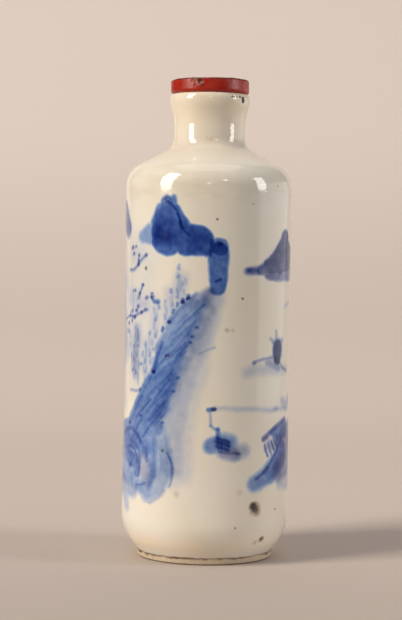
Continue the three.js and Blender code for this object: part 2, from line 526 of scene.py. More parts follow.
@dataclass(frozen=True)
class RiverBank:
    """The steep bank that sweeps down from the cliff, washed in blue and hatched lengthways."""

    middle: tuple[Place, ...] = ((-0.7, 43.2), (-3.5, 39.8), (-5.7, 35.4), (-7.6, 30.4),
                                 (-9.6, 26.6), (-12.4, 22.8))
    widths: tuple[float, ...] = (1.8, 3.6, 4.4, 5.2, 6.4, 5.6)
    fringe: tuple[Place, ...] = ((0.4, 43.8), (-1.3, 40.2), (-2.8, 36.2), (-4.4, 32.0),
                                 (-6.6, 27.0), (-8.0, 23.6))
    water_edge: tuple[Place, ...] = ((0.9, 43.6), (-0.6, 38.0), (-2.4, 33.0), (-4.1, 28.0),
                                     (-5.2, 22.0), (-5.4, 16.0))
    upper_edge: tuple[Place, ...] = ((-2.8, 42.0), (-6.4, 37.4), (-9.4, 31.2), (-13.0, 25.6),
                                     (-15.6, 22.8))
    river_side: tuple[Place, ...] = ((-0.2, 43.4), (-2.2, 39.1), (-3.4, 35.4), (-4.6, 31.2),
                                     (-6.0, 27.4), (-7.5, 23.2))
    hatches: int = 40
    hatch_lean: tuple[float, float] = (216.0, 230.0)
    hatch_turn: float = 4.0
    hatch_length: tuple[float, float] = (2.4, 4.8)
    hatch_starts: tuple[float, ...] = (0.0, 0.1, 0.25, 0.4, 0.6)
    hatch_ink: tuple[float, float] = (0.1, 0.3)
    seed: int = 5

    def strokes(self) -> list[Stroke]:
        """The water's shadow, the bank's wash, its edge lines and its hatching."""
        return self._washes() + self._edges() + self._hatching()

    def _washes(self) -> list[Stroke]:
        """The pale water beside the bank, the pale strip along its top, then the bank itself."""
        water = drawn(self.water_edge, (3.2, 4.0), Ink.MIST, 0.18, 1.3)
        water += drawn(self.water_edge[2:], (5.6, 6.6), Ink.MIST, 0.08, 1.3)
        water += drawn([(0.7, 44.4), (0.3, 41.4)], (1.8, 2.4), Ink.MIST, 0.32, 1.1)
        water += drawn([(0.3, 41.4), (-0.6, 38.2), (-1.8, 35.2)], (2.6, 2.2), Ink.MIST, 0.3, 1.3)
        strip = drawn([(0.4, 44.8), (-2.2, 42.9)], (1.2, 1.8), Ink.SLATE, 0.2, 0.6)
        strip += drawn([(-1.6, 43.2), (-3.4, 41.9), (-5.6, 38.8), (-7.6, 35.2)], (1.0, 2.8),
                       Ink.WASH, 0.34, 0.4)
        strip += drawn([(-10.2, 30.2), (-12.8, 26.2), (-15.6, 22.4), (-18.6, 21.4)], (1.6, 2.8),
                       Ink.WASH, 0.46, 0.35)
        strip += drawn([(-13.4, 23.0), (-10.4, 21.8), (-8.6, 22.4)], (3.4, 3.0), Ink.WASH, 0.42,
                       0.6)
        edge = drawn(self.fringe[1:], (1.8, 3.0), Ink.HAZE, 0.18, 0.9)
        bank = [
            Stroke(self.middle[i], self.middle[i + 1], self.widths[i], self.widths[i + 1], Ink.WASH,
                   strength, 0.7)
            for i, strength in enumerate((0.28, 0.37, 0.42, 0.5, 0.5))
        ]
        return water + strip + edge + bank

    def _edges(self) -> list[Stroke]:
        """Three drawn lines down the upper edge, with upright dark touches along them."""
        first = [(-1.8, 44.3), (-3.4, 43.0), (-5.2, 41.4), (-6.3, 40.0)]
        second = [(-7.6, 36.4), (-8.7, 33.8), (-9.3, 31.8)]
        third = [(-9.9, 30.7), (-12.2, 27.4), (-14.2, 24.6), (-15.6, 22.9)]
        lines = drawn(first, (0.5, 0.8), Ink.TONE, 0.36, 0.45)
        lines += drawn(second, (0.4, 0.9), Ink.TONE, 0.42, 0.4)
        lines += drawn(third, (0.4, 0.6), Ink.TONE, 0.22, 0.35)
        touches = ((-3.1, 43.8, 0.6), (-4.0, 43.2, 0.62), (-4.9, 42.6, 0.45), (-5.6, 41.5, 0.55),
                   (-7.5, 38.5, 0.5))
        lines += [
            Stroke((x, z + 0.15), (x - 0.15, z - 0.3), size, size * 0.8, Ink.TONE, 0.66, 0.35)
            for x, z, size in touches
        ]
        lines += dabs(((-3.1, 43.6), (-4.0, 43.0), (-6.4, 39.7), (-9.3, 31.5), (-6.7, 34.2),
                       (-15.8, 22.7)), 0.66,
                      Ink.LINE, 0.62)
        return lines

    def _hatching(self) -> list[Stroke]:
        """Thin strokes side by side down the bank, some from its river edge, some from within."""
        rng = random.Random(self.seed)
        strokes = []
        for i in range(self.hatches):
            share = (i + 0.5) / self.hatches
            lean = math.radians(rng.uniform(*self.hatch_lean) + self.hatch_turn * share)
            length = rng.uniform(*self.hatch_length)
            inward = rng.choice(self.hatch_starts)
            start = between(along(self.river_side, share), along(self.upper_edge, share), inward)
            end = (start[0] + length * math.cos(lean), start[1] + length * math.sin(lean))
            strokes.append(Stroke(start, end, 0.42, 0.28, Ink.TONE, rng.uniform(*self.hatch_ink),
                                  0.22))
        ends = ((-1.6, 39.0), (-2.4, 37.5), (-2.7, 36.5), (-4.7, 30.8), (-5.5, 28.5), (-7.4, 23.4),
                (-12.2, 24.2))
        return strokes + dabs(ends, 0.6, Ink.TONE, 0.4)


@dataclass(frozen=True)
class SwirlRock:
    """The rock at the foot of the bank, drawn as curled layers over a pale wash."""

    heart: Place = (-10.4, 15.4)
    crown: Place = (-15.2, 16.6)

    def strokes(self) -> list[Stroke]:
        """The wash first, then the curls from the outside in."""
        return self._washes() + self._curls()

    def _washes(self) -> list[Stroke]:
        """Pale washes that leave the rock's heart lighter, and thin ones that run down below it."""
        return [
            *drawn([(-8.4, 21.6), (-7.3, 18.8), (-6.8, 15.4), (-8.2, 12.8), (-10.4, 11.8)],
                   (3.4, 3.0), Ink.WASH,
                   0.22, 0.6),
            *drawn([(-9.4, 21.6), (-9.0, 18.4)], (2.0, 2.0), Ink.WASH, 0.46, 0.9),
            *drawn([(-9.0, 18.0), (-8.9, 14.8), (-10.0, 12.4)], (1.8, 1.6), Ink.WASH, 0.48, 0.9),
            *drawn([(-10.2, 12.0), (-12.8, 12.9)], (2.6, 2.0), Ink.WASH, 0.33, 0.7),
            Stroke((-12.4, 19.6), (-9.8, 19.2), 3.4, 3.0, Ink.WASH, 0.48, 0.8),
            Stroke((-11.4, 16.4), (-10.4, 14.6), 3.4, 3.0, Ink.SLATE, 0.24, 0.7),
            Stroke((-17.0, 19.6), (-13.4, 19.8), 3.2, 3.2, Ink.WASH, 0.64, 0.5),
            Stroke((-16.6, 17.6), (-13.9, 16.6), 3.2, 2.8, Ink.WASH, 0.6, 0.7),
            Stroke((-13.4, 17.2), (-13.2, 14.6), 2.2, 1.8, Ink.WASH, 0.52, 0.7),
            Stroke((-20.5, 18.8), (-16.5, 18.0), 5.0, 4.6, Ink.WASH, 0.44, 0.6),
            Stroke((-19.5, 15.0), (-14.6, 14.4), 4.4, 3.0, Ink.WASH, 0.33, 0.9),
            Stroke((-20.0, 12.4), (-14.0, 11.8), 4.2, 2.2, Ink.HAZE, 0.25, 0.9),
            Stroke((-17.2, 11.0), (-16.4, 9.0), 3.4, 2.0, Ink.HAZE, 0.16, 0.8),
        ]

    def _curls(self) -> list[Stroke]:
        """The drawn arcs: one over the crown, one down the right, and shorter ones inside."""
        crown = [(-18.4, 20.8), (-16.8, 21.6), (-14.8, 21.8), (-13.2, 21.1), (-12.0, 19.9)]
        return [
            *drawn(crown, (0.8, 0.5), Ink.TONE, 0.4, 0.35),
            *drawn([(-11.6, 19.8), (-11.2, 18.4)], (0.3, 0.4), Ink.TONE, 0.2, 0.35),
            *drawn([(-10.9, 19.0), (-10.6, 18.0), (-10.5, 17.0)], (0.7, 0.6), Ink.TONE, 0.3, 0.35),
            *drawn(curve(self.heart, 5.05, 38, 6, 3), (0.2, 0.55), Ink.TONE, 0.42, 0.25),
            *drawn(curve(self.heart, 5.05, 6, -28, 3), (0.55, 0.2), Ink.TONE, 0.34, 0.25),
            *drawn(curve(self.crown, 3.2, 92, 0, 5), (0.3, 0.45), Ink.TONE, 0.24, 0.3),
            *drawn(curve(self.crown, 2.3, 120, 4, 5), (0.3, 0.45), Ink.TONE, 0.28, 0.3),
            *drawn(curve(self.crown, 1.4, 150, 30, 4), (0.3, 0.35), Ink.TONE, 0.2, 0.3),
            *drawn(curve((-17.6, 15.2), 3.4, 88, 20, 3), (0.4, 0.3), Ink.TONE, 0.22, 0.3),
            *drawn([(-12.3, 17.0), (-12.2, 15.6), (-12.5, 14.2)], (0.3, 0.4), Ink.TONE, 0.26, 0.3),
            *drawn([(-9.2, 20.4), (-8.8, 17.0), (-8.7, 14.6)], (0.3, 0.3), Ink.TONE, 0.1, 0.4),
            *drawn([(-7.6, 19.2), (-7.4, 16.4), (-7.8, 14.0)], (0.3, 0.3), Ink.TONE, 0.08, 0.4),
            *drawn([(-12.9, 12.7), (-11.8, 12.9), (-10.8, 13.3)], (0.3, 0.3), Ink.TONE, 0.3, 0.25),
            *drawn([(-14.6, 14.4), (-14.3, 12.4)], (0.4, 0.3), Ink.TONE, 0.2, 0.3),
            *drawn([(-9.8, 10.1), (-8.0, 11.0), (-6.9, 12.2)], (0.3, 0.3), Ink.SLATE, 0.16, 0.4),
            dab((-15.2, 15.8), 0.9, Ink.TONE, 0.4, 0.35),
        ]


@dataclass(frozen=True)
class Reeds:
    """Reeds beyond the bank: clumps of faint upright strokes and darker touches over a haze."""

    clumps: tuple[tuple[Place, float, float, int], ...] = (
        ((-13.9, 39.2), 1.7, 8.6, 15), ((-10.4, 38.0), 1.5, 4.0, 7), ((-11.6, 35.0), 1.3, 4.0, 8),
        ((-8.9, 43.0), 1.2, 6.0, 7), ((-7.0, 43.8), 0.7, 4.4, 5), ((-4.9, 49.4), 0.3, 2.4, 2),
        ((-4.3, 47.4), 1.7, 3.8, 11), ((-6.2, 45.2), 0.8, 3.4, 5), ((-9.6, 35.4), 0.8, 2.4, 4),
        ((-20.6, 46.0), 2.6, 12.0, 14), ((-22.6, 41.0), 1.4, 7.0, 6), ((-16.0, 41.0), 1.3, 8.0, 14),
        ((-13.5, 38.6), 1.3, 8.2, 18),
    )
    haze: tuple[Stroke, ...] = (
        Stroke((-13.6, 38.2), (-14.2, 31.8), 1.6, 2.4, Ink.SLATE, 0.18, 1.2),
        Stroke((-11.4, 36.0), (-11.0, 32.0), 1.4, 1.6, Ink.HAZE, 0.07, 1.3),
        Stroke((-4.4, 46.8), (-4.8, 44.0), 2.2, 2.6, Ink.SLATE, 0.1, 1.2),
        Stroke((-8.6, 42.6), (-9.4, 35.6), 2.2, 1.8, Ink.SLATE, 0.08, 1.3),
        Stroke((-6.6, 44.6), (-7.4, 39.0), 1.4, 1.0, Ink.SLATE, 0.09, 1.2),
        Stroke((-14.6, 50.6), (-12.4, 50.4), 2.0, 1.6, Ink.HAZE, 0.05, 1.4),
        Stroke((-16.4, 43.4), (-11.0, 42.4), 3.0, 2.2, Ink.SLATE, 0.08, 1.6),
        Stroke((-20.8, 46.0), (-20.2, 35.0), 3.0, 5.6, Ink.SLATE, 0.22, 1.8),
        Stroke((-22.6, 41.0), (-22.0, 33.0), 2.0, 3.6, Ink.MIST, 0.14, 1.8),
        Stroke((-19.4, 52.0), (-18.2, 46.0), 3.0, 3.0, Ink.MIST, 0.1, 1.4),
        Stroke((-20.4, 32.0), (-19.4, 26.0), 4.0, 3.4, Ink.MIST, 0.1, 1.6),
        Stroke((-13.0, 50.0), (-13.6, 30.0), 9.0, 7.0, Ink.MIST, 0.045, 2.4),
    )
    stem_length: tuple[float, float] = (0.5, 1.7)
    stem_ink: tuple[float, float] = (0.1, 0.2)
    leaf_length: tuple[float, float] = (0.1, 0.6)
    leaf_ink: tuple[float, float] = (0.24, 0.4)
    sway: float = 0.15
    seed: int = 12

    def strokes(self) -> list[Stroke]:
        """Each clump as upright stems, with a short dark leaf in place of one in three."""
        rng = random.Random(self.seed)
        strokes = list(self.haze)
        for (x, z), spread, depth, count in self.clumps:
            for i in range(count):
                start = (x + rng.uniform(-0.5, 0.5) * spread,
                         z - depth * (i + rng.uniform(0.0, 0.8)) / count)
                is_leaf = i % 3 == 0
                length = rng.uniform(*(self.leaf_length if is_leaf else self.stem_length))
                end = (start[0] + rng.uniform(-self.sway, self.sway), start[1] - length)
                strength = rng.uniform(*(self.leaf_ink if is_leaf else self.stem_ink))
                strokes.append(Stroke(start, end, 0.3, 0.42 if is_leaf else 0.3, Ink.TONE, strength,
                                      0.4))
        return strokes


@dataclass(frozen=True)
class Branch:
    """A bare branch with dabs for its leaves or blossom."""

    places: tuple[Place, ...]
    leaves: tuple[Place, ...]
    leaf: float = 0.66
    strength: float = 0.4

    def strokes(self) -> list[Stroke]:
        """The branch's line in pale then dark ink, and a dab for each leaf."""
        strokes = drawn(self.places, (0.5, 0.5), Ink.SLATE, self.strength * 0.55, 0.35)
        strokes += drawn(self.places, (0.25, 0.3), Ink.TONE, self.strength * 0.5, 0.2)
        for i, place in enumerate(self.leaves):
            strokes.append(dab(place, self.leaf * (1 + 0.2 * (i % 3 - 1)), Ink.LINE, self.strength,
                               0.25))
        return strokes


@dataclass(frozen=True)
class Boat:
    """A small boat on the river: a hull line, a boatman's dark cloak, a pole, and a shadow."""

    boatman: Place = (14.0, 35.0)
    stern: Place = (8.3, 33.2)
    bow: Place = (17.7, 31.6)

    def strokes(self) -> list[Stroke]:
        """The shadow, the cloak, the hull and the pole."""
        x, z = self.boatman
        return [
            Stroke((x - 7.2, z - 3.3), (x - 5.8, z - 2.9), 1.4, 1.6, Ink.MIST, 0.11, 1.0),
            Stroke((x - 5.6, z - 2.9), (x + 3.4, z - 3.2), 1.4, 1.6, Ink.MIST, 0.12, 1.0),
            Stroke((x - 2.8, z - 1.8), (x + 0.6, z - 2.6), 1.2, 1.0, Ink.SLATE, 0.26, 0.5),
            Stroke((x - 0.6, z + 1.9), (x - 0.6, z + 3.2), 0.7, 0.5, Ink.SLATE, 0.26, 0.35),
            Stroke((x - 2.2, z + 2.0), (x - 1.2, z + 1.4), 0.4, 0.7, Ink.SLATE, 0.24, 0.35),
            Stroke((x + 1.7, z + 1.9), (x + 1.0, z + 1.2), 0.4, 0.7, Ink.SLATE, 0.24, 0.35),
            Stroke((x, z + 0.5), (x, z - 0.6), 3.0, 2.7, Ink.WASH, 0.45, 0.7),
            Stroke((x - 0.05, z + 0.6), (x - 0.1, z - 0.8), 2.5, 2.2, Ink.SLATE, 0.9, 0.3),
            *drawn(curve((x - 0.05, z + 0.1), 1.15, 140, 230, 3), (0.45, 0.6), Ink.LINE, 0.42,
                   0.35),
            *drawn(curve((x - 0.05, z + 0.1), 1.15, 60, -50, 4), (0.45, 0.6), Ink.LINE, 0.42, 0.35),
            *drawn([(x - 0.9, z + 1.3), (x - 0.1, z + 1.7), (x + 0.7, z + 1.4)], (0.4, 0.4),
                   Ink.LINE, 0.4, 0.35),
            Stroke((x - 0.4, z - 1.5), (x + 0.2, z - 1.6), 1.1, 1.1, Ink.LINE, 1.2, 0.35),
            *drawn([self.stern, (self.stern[0] + 1.6, self.stern[1] + 0.5), (x - 1.5, z - 1.1)],
                   (0.4, 0.4),
                   Ink.SLATE, 0.34, 0.35),
            *drawn([(x + 0.6, z - 2.0), (x + 1.8, z - 2.7), self.bow], (0.45, 0.4), Ink.SLATE, 0.36,
                   0.35),
            dab(self.stern, 0.65, Ink.LINE, 0.3, 0.35),
        ]


@dataclass(frozen=True)
class Mooring:
    """A mooring line from the far bank to a post, and the dark bush that the post stands in."""

    knot: Place = (0.5, 25.7)
    bush: Place = (2.8, 20.2)
    far_end: Place = (17.6, 25.4)

    def strokes(self) -> list[Stroke]:
        """The line, the post, and the bush in three washes with a dark heart."""
        return self._line() + self._bush()

    def _line(self) -> list[Stroke]:
        """The knot, the pale line to the right, and the crooked post."""
        x, z = self.knot
        return [
            *drawn([(x + 0.8, z + 0.2), (x + 7.5, z), (x + 11.0, z - 0.3), self.far_end],
                   (0.5, 0.7), Ink.MIST,
                   0.14, 0.6),
            Stroke((16.0, 26.6), (17.6, 25.8), 1.2, 1.4, Ink.SLATE, 0.18, 0.8),
            Stroke((17.2, 25.8), (20.4, 26.4), 1.6, 3.0, Ink.SLATE, 0.16, 0.9),
            Stroke((13.2, 25.6), (14.0, 25.5), 0.5, 0.6, Ink.SLATE, 0.12, 0.4),
            *drawn([(x + 0.2, z - 0.3), (x + 0.3, z - 2.4)], (0.4, 0.4), Ink.SLATE, 0.22, 0.25),
            *drawn([(x + 0.3, z - 2.6), (x + 0.9, z - 3.0), (x + 1.5, z - 3.2)], (0.4, 0.4),
                   Ink.TONE, 0.3, 0.25),
            dab((x + 0.1, z), 0.85, Ink.TONE, 0.55, 0.25),
            dab((x + 0.8, z + 0.1), 0.7, Ink.LINE, 0.85, 0.25),
        ]

    def _bush(self) -> list[Stroke]:
        """Three rounded washes, a pale tail, and dark broken lines over them."""
        x, z = self.bush
        rows = ((0.9, 1.0), (1.3, 0.45), (1.5, -0.3))
        broken = [
            Stroke((x - 0.9 + shift, z + rise), (x - 0.6 + shift, z + rise - 0.35), 0.35, 0.45,
                   Ink.LINE, 0.5, 0.25)
            for shift in (0.0, 0.55, 1.1, 1.6)
            for rise in [row[1] - 0.3 * shift for row in rows]
        ]
        return [
            Stroke((x - 1.9, z - 0.3), (x - 0.8, z), 2.4, 2.6, Ink.WASH, 0.44, 0.5),
            Stroke((x + 0.2, z + 0.4), (x + 1.2, z + 0.3), 2.4, 2.2, Ink.WASH, 0.36, 0.8),
            Stroke((x + 0.2, z - 1.6), (x + 1.8, z - 1.8), 1.8, 2.0, Ink.SLATE, 0.32, 0.6),
            Stroke((x + 2.6, z - 1.4), (x + 3.6, z - 1.2), 2.0, 2.0, Ink.MIST, 0.24, 0.8),
            Stroke((x - 0.9, z + 2.3), (x - 0.7, z + 1.0), 0.6, 1.0, Ink.WASH, 0.55, 0.35),
            Stroke((x - 0.5, z + 0.4), (x + 0.6, z - 0.4), 1.7, 1.6, Ink.TONE, 0.34, 0.6),
            *drawn([(x - 0.6, z - 1.3), (x + 1.0, z - 1.5), (x + 2.9, z - 1.6)], (0.3, 0.4),
                   Ink.LINE, 0.4, 0.25),
            *broken,
        ]


@dataclass(frozen=True)
class Pavilion:
    """The pavilion on the near bank: a sweeping roof over curled strokes, and the bank's edge."""

    eave: Place = (10.4, 20.8)
    ridge: Place = (17.2, 23.6)
    bank_tip: Place = (8.6, 13.5)

    def strokes(self) -> list[Stroke]:
        """The washes of the roof and the bank, the drawn edges, then the curls between them."""
        return self._washes() + self._edges() + self._curls()

    def _washes(self) -> list[Stroke]:
        """The roof's fall, the pale wall under it, and the bank in two strokes."""
        return [
            Stroke((12.4, 21.6), (16.8, 21.9), 1.0, 3.2, Ink.WASH, 0.54, 0.5),
            Stroke((13.2, 20.9), (15.6, 20.6), 0.9, 1.2, Ink.TONE, 0.3, 0.4),
            Stroke((14.9, 20.4), (15.0, 19.0), 2.4, 1.8, Ink.WASH, 0.56, 0.5),
            Stroke((11.4, 19.4), (13.8, 19.8), 1.6, 2.0, Ink.SLATE, 0.24, 0.6),
            Stroke((16.8, 20.6), (20.5, 20.5), 4.2, 5.6, Ink.SLATE, 0.4, 0.8),
            Stroke(self.bank_tip, (12.0, 14.9), 2.6, 3.4, Ink.WASH, 0.46, 0.6),
            Stroke((12.0, 15.1), (15.8, 17.8), 3.2, 4.0, Ink.WASH, 0.56, 0.6),
            Stroke((14.6, 15.4), (19.5, 17.4), 3.6, 6.0, Ink.SLATE, 0.4, 0.9),
            Stroke((15.2, 13.4), (19.8, 13.2), 2.2, 3.0, Ink.MIST, 0.18, 1.0),
        ]

    def _edges(self) -> list[Stroke]:
        """The roof's dark edge and the dark edge of the bank."""
        return [
            *drawn([self.eave, (12.0, 21.7), (14.0, 22.7), (15.8, 23.3), self.ridge], (0.7, 0.7),
                   Ink.LINE, 0.4, 0.35),
            *drawn([(8.8, 14.3), (10.2, 15.0), (11.6, 16.1), (12.8, 17.4), (14.0, 18.7),
                    (15.2, 20.0)],
                   (0.4, 0.6), Ink.TONE, 0.4, 0.3),
            *drawn([(15.4, 19.8), (15.7, 20.6), (15.0, 21.1)], (0.6, 0.5), Ink.TONE, 0.34, 0.35),
            Stroke((10.4, 20.7), (11.4, 21.1), 0.8, 0.7, Ink.LINE, 0.6, 0.3),
            Stroke((10.6, 15.3), (11.6, 15.9), 0.6, 0.6, Ink.LINE, 0.42, 0.35),
            dab((9.2, 14.4), 0.5, Ink.LINE, 0.25, 0.35),
        ]

    @staticmethod
    def _curls() -> list[Stroke]:
        """The short strokes under the roof."""
        return [
            *drawn([(10.7, 19.8), (11.0, 18.7), (11.5, 17.9)], (0.25, 0.45), Ink.TONE, 0.5, 0.2),
            *drawn([(11.6, 20.2), (11.9, 19.2), (12.4, 18.3)], (0.25, 0.35), Ink.TONE, 0.36, 0.2),
            *drawn([(12.4, 20.2), (12.8, 19.4), (13.2, 18.8)], (0.35, 0.4), Ink.TONE, 0.5, 0.2),
            *drawn([(13.1, 20.5), (13.5, 19.8), (14.1, 19.2)], (0.3, 0.35), Ink.TONE, 0.4, 0.2),
            *drawn([(12.0, 18.6), (12.6, 17.8)], (0.3, 0.3), Ink.TONE, 0.4, 0.2),
        ]


def front_strokes() -> list[Stroke]:
    """The whole of the landscape's front, as far round as it is worked in full."""
    upper = Branch(((-16.4, 48.0), (-14.8, 48.0), (-13.3, 48.9), (-12.4, 49.7), (-11.2, 50.4)),
                   ((-13.1, 50.4), (-11.2, 50.5), (-15.2, 51.6), (-14.1, 51.8), (-14.8, 50.6),
                    (-13.3, 48.9)))
    fork = Branch(((-13.3, 48.8), (-13.1, 50.3)), ((-13.2, 49.4),), 0.7)
    lower = Branch(((-19.0, 39.7), (-16.4, 40.3), (-14.5, 40.4), (-12.5, 41.1), (-10.9, 41.5)),
                   ((-16.2, 40.3), (-15.3, 41.1), (-13.3, 42.0), (-11.3, 41.6), (-12.3, 41.1),
                    (-14.4, 40.2),
                    (-15.4, 39.6), (-16.7, 39.2), (-13.8, 41.3)))
    sprays = Branch(((-14.9, 41.2), (-14.9, 44.5), (-14.1, 44.6)),
                    ((-15.0, 44.5), (-14.2, 44.6), (-13.1, 43.4)), 0.7, 0.2)
    twig = Branch(((-13.0, 43.8), (-12.0, 45.5)),
                  ((-12.0, 45.6), (-12.8, 44.1), (-11.0, 43.5), (-9.8, 44.2), (-9.7, 43.7)))
    return [
        *CragMountain().strokes(),
        *FarMountain().strokes(),
        Stroke((-19.6, 57.6), (-17.7, 54.9), 3.6, 3.4, Ink.SLATE, 0.42, 0.5),
        Stroke((-21.6, 59.6), (-20.8, 56.6), 1.6, 5.4, Ink.SLATE, 0.38, 0.5),
        Stroke((-27.4, 53.6), (-22.4, 54.8), 0.9, 3.2, Ink.SLATE, 0.38, 0.5),
        Stroke((-18.0, 57.0), (-17.4, 55.0), 1.6, 2.0, Ink.WASH, 0.2, 0.8),
        *RiverBank().strokes(),
        *SwirlRock().strokes(),
        *Reeds().strokes(),
        *upper.strokes(),
        *fork.strokes(),
        *lower.strokes(),
        *sprays.strokes(),
        *twig.strokes(),
        *drawn([(-10.0, 43.7), (-9.4, 43.0), (-8.5, 42.9)], (0.35, 0.7), Ink.TONE, 0.6, 0.3),
        *drawn([(-15.7, 28.1), (-13.6, 28.2), (-12.5, 28.4)], (0.25, 0.5), Ink.SLATE, 0.3, 0.35),
        Stroke((-17.2, 37.9), (-16.2, 37.7), 0.7, 0.8, Ink.TONE, 0.26, 0.4),
        *dabs(((-12.5, 28.4), (-12.3, 32.6), (-14.9, 31.5)), 0.6, Ink.TONE, 0.34),
        *Boat().strokes(),
        *Mooring().strokes(),
        *Pavilion().strokes(),
        Stroke((-1.2, 34.8), (1.3, 35.9), 0.3, 0.3, Ink.SLATE, 0.14, 0.3),
        Stroke((16.6, 42.4), (18.6, 42.8), 0.4, 0.8, Ink.SLATE, 0.14, 0.6),
    ]


def back_strokes() -> list[Stroke]:
    """The plainer rest of the landscape, round the sides and the back, from the same motifs."""
    far = FarMountain(strength=0.55)
    return [
        *shifted(far.strokes(), (18.0, 2.4), 0.95),
        *shifted(far.strokes(), (-18.0, 0.0), 1.0, mirror=True),
        *drawn([(22.0, 19.6), (27.0, 16.2), (32.0, 13.6)], (7.0, 2.4), Ink.WASH, 0.34, 0.6),
        *drawn([(24.0, 22.4), (28.4, 18.6), (33.0, 14.6)], (0.5, 0.7), Ink.TONE, 0.4, 0.3),
        *drawn([(36.0, 12.8), (40.5, 12.4)], (2.4, 1.6), Ink.HAZE, 0.12, 0.7),
        *shifted(Boat().strokes(), (24.0, 2.0), 0.9),
        *drawn([(-22.0, 22.0), (-27.0, 25.0), (-31.0, 30.4)], (5.0, 3.0), Ink.WASH, 0.34, 0.6),
        *drawn([(-22.0, 24.4), (-27.4, 27.2), (-31.2, 32.2)], (0.6, 0.4), Ink.TONE, 0.4, 0.3),
        *drawn([(-24.0, 17.0), (-33.0, 15.0), (-40.0, 15.6)], (3.4, 1.8), Ink.HAZE, 0.12, 0.7),
        *drawn([(-35.6, 38.0), (-33.0, 38.5), (-29.0, 38.2)], (0.5, 0.4), Ink.TONE, 0.2, 0.3),
    ]


# --------------------------------------------------------------------------------------------------
# Finishes
# --------------------------------------------------------------------------------------------------


@dataclass(frozen=True)
class Speck:
    """A spot of iron, dirt or frost, or of painted light or shade, by its angle from the front, its
    radius and its height.
    """

    angle: float
    radius: float
    height: float
    size: float
    strength: float = 0.9
    softness: float = 0.15

    def centre(self) -> tuple[float, float, float]:
        """Its place in space."""
        turn = math.radians(self.angle)
        return (self.radius * math.sin(turn), -self.radius * math.cos(turn), self.height)


def specked(graph: Graph, effects: Effects, place: object, specks: Iterable[Speck]) -> object:
    """Lays a set of spots over one another.

    Args:
        graph: the material's graph.
        effects: the shared node groups.
        place: a place on the piece.
        specks: the spots.

    Returns:
        How far they cover the surface.
    """
    mask: object = 0.0
    for speck in specks:
        inputs = {"Position": place, "Centre": speck.centre(),
                  "Radius": speck.size - speck.softness / 2,
                  "Softness": speck.softness, "Strength": speck.strength, "Under": mask}
        mask = graph.group(effects.speck, inputs).outputs[0]
    return mask


@dataclass(frozen=True)
class Mottle:
    """A cloudy pattern: its fineness, its layers, its seed, and what it runs from and to."""

    scale: float
    detail: float
    seed: float
    low: float = 0.0
    high: float = 1.0

    def over(self, graph: Graph, effects: Effects, place: object) -> bpy.types.NodeSocket:
        """The pattern's value at a place."""
        inputs = {"Position": place, "Scale": self.scale, "Detail": self.detail, "Seed": self.seed,
                  "Low": self.low, "High": self.high}
        return graph.group(effects.mottle, inputs).outputs[0]


def principled(material: bpy.types.Material) -> tuple[Graph, bpy.types.Node, bpy.types.NodeSocket]:
    """Clears a material down to one shader.

    Args:
        material: the new material.

    Returns:
        Its graph, its shader, and a place on the piece in millimetres.
    """
    material.use_nodes = True
    material.node_tree.nodes.clear()
    graph = Graph(material.node_tree)
    place = graph.scaled(graph.node("ShaderNodeTexCoord").outputs["Object"], 1 / MM)
    shader = graph.node("ShaderNodeBsdfPrincipled")
    graph.node("ShaderNodeOutputMaterial", {"Surface": shader.outputs[0]})
    return graph, shader, place


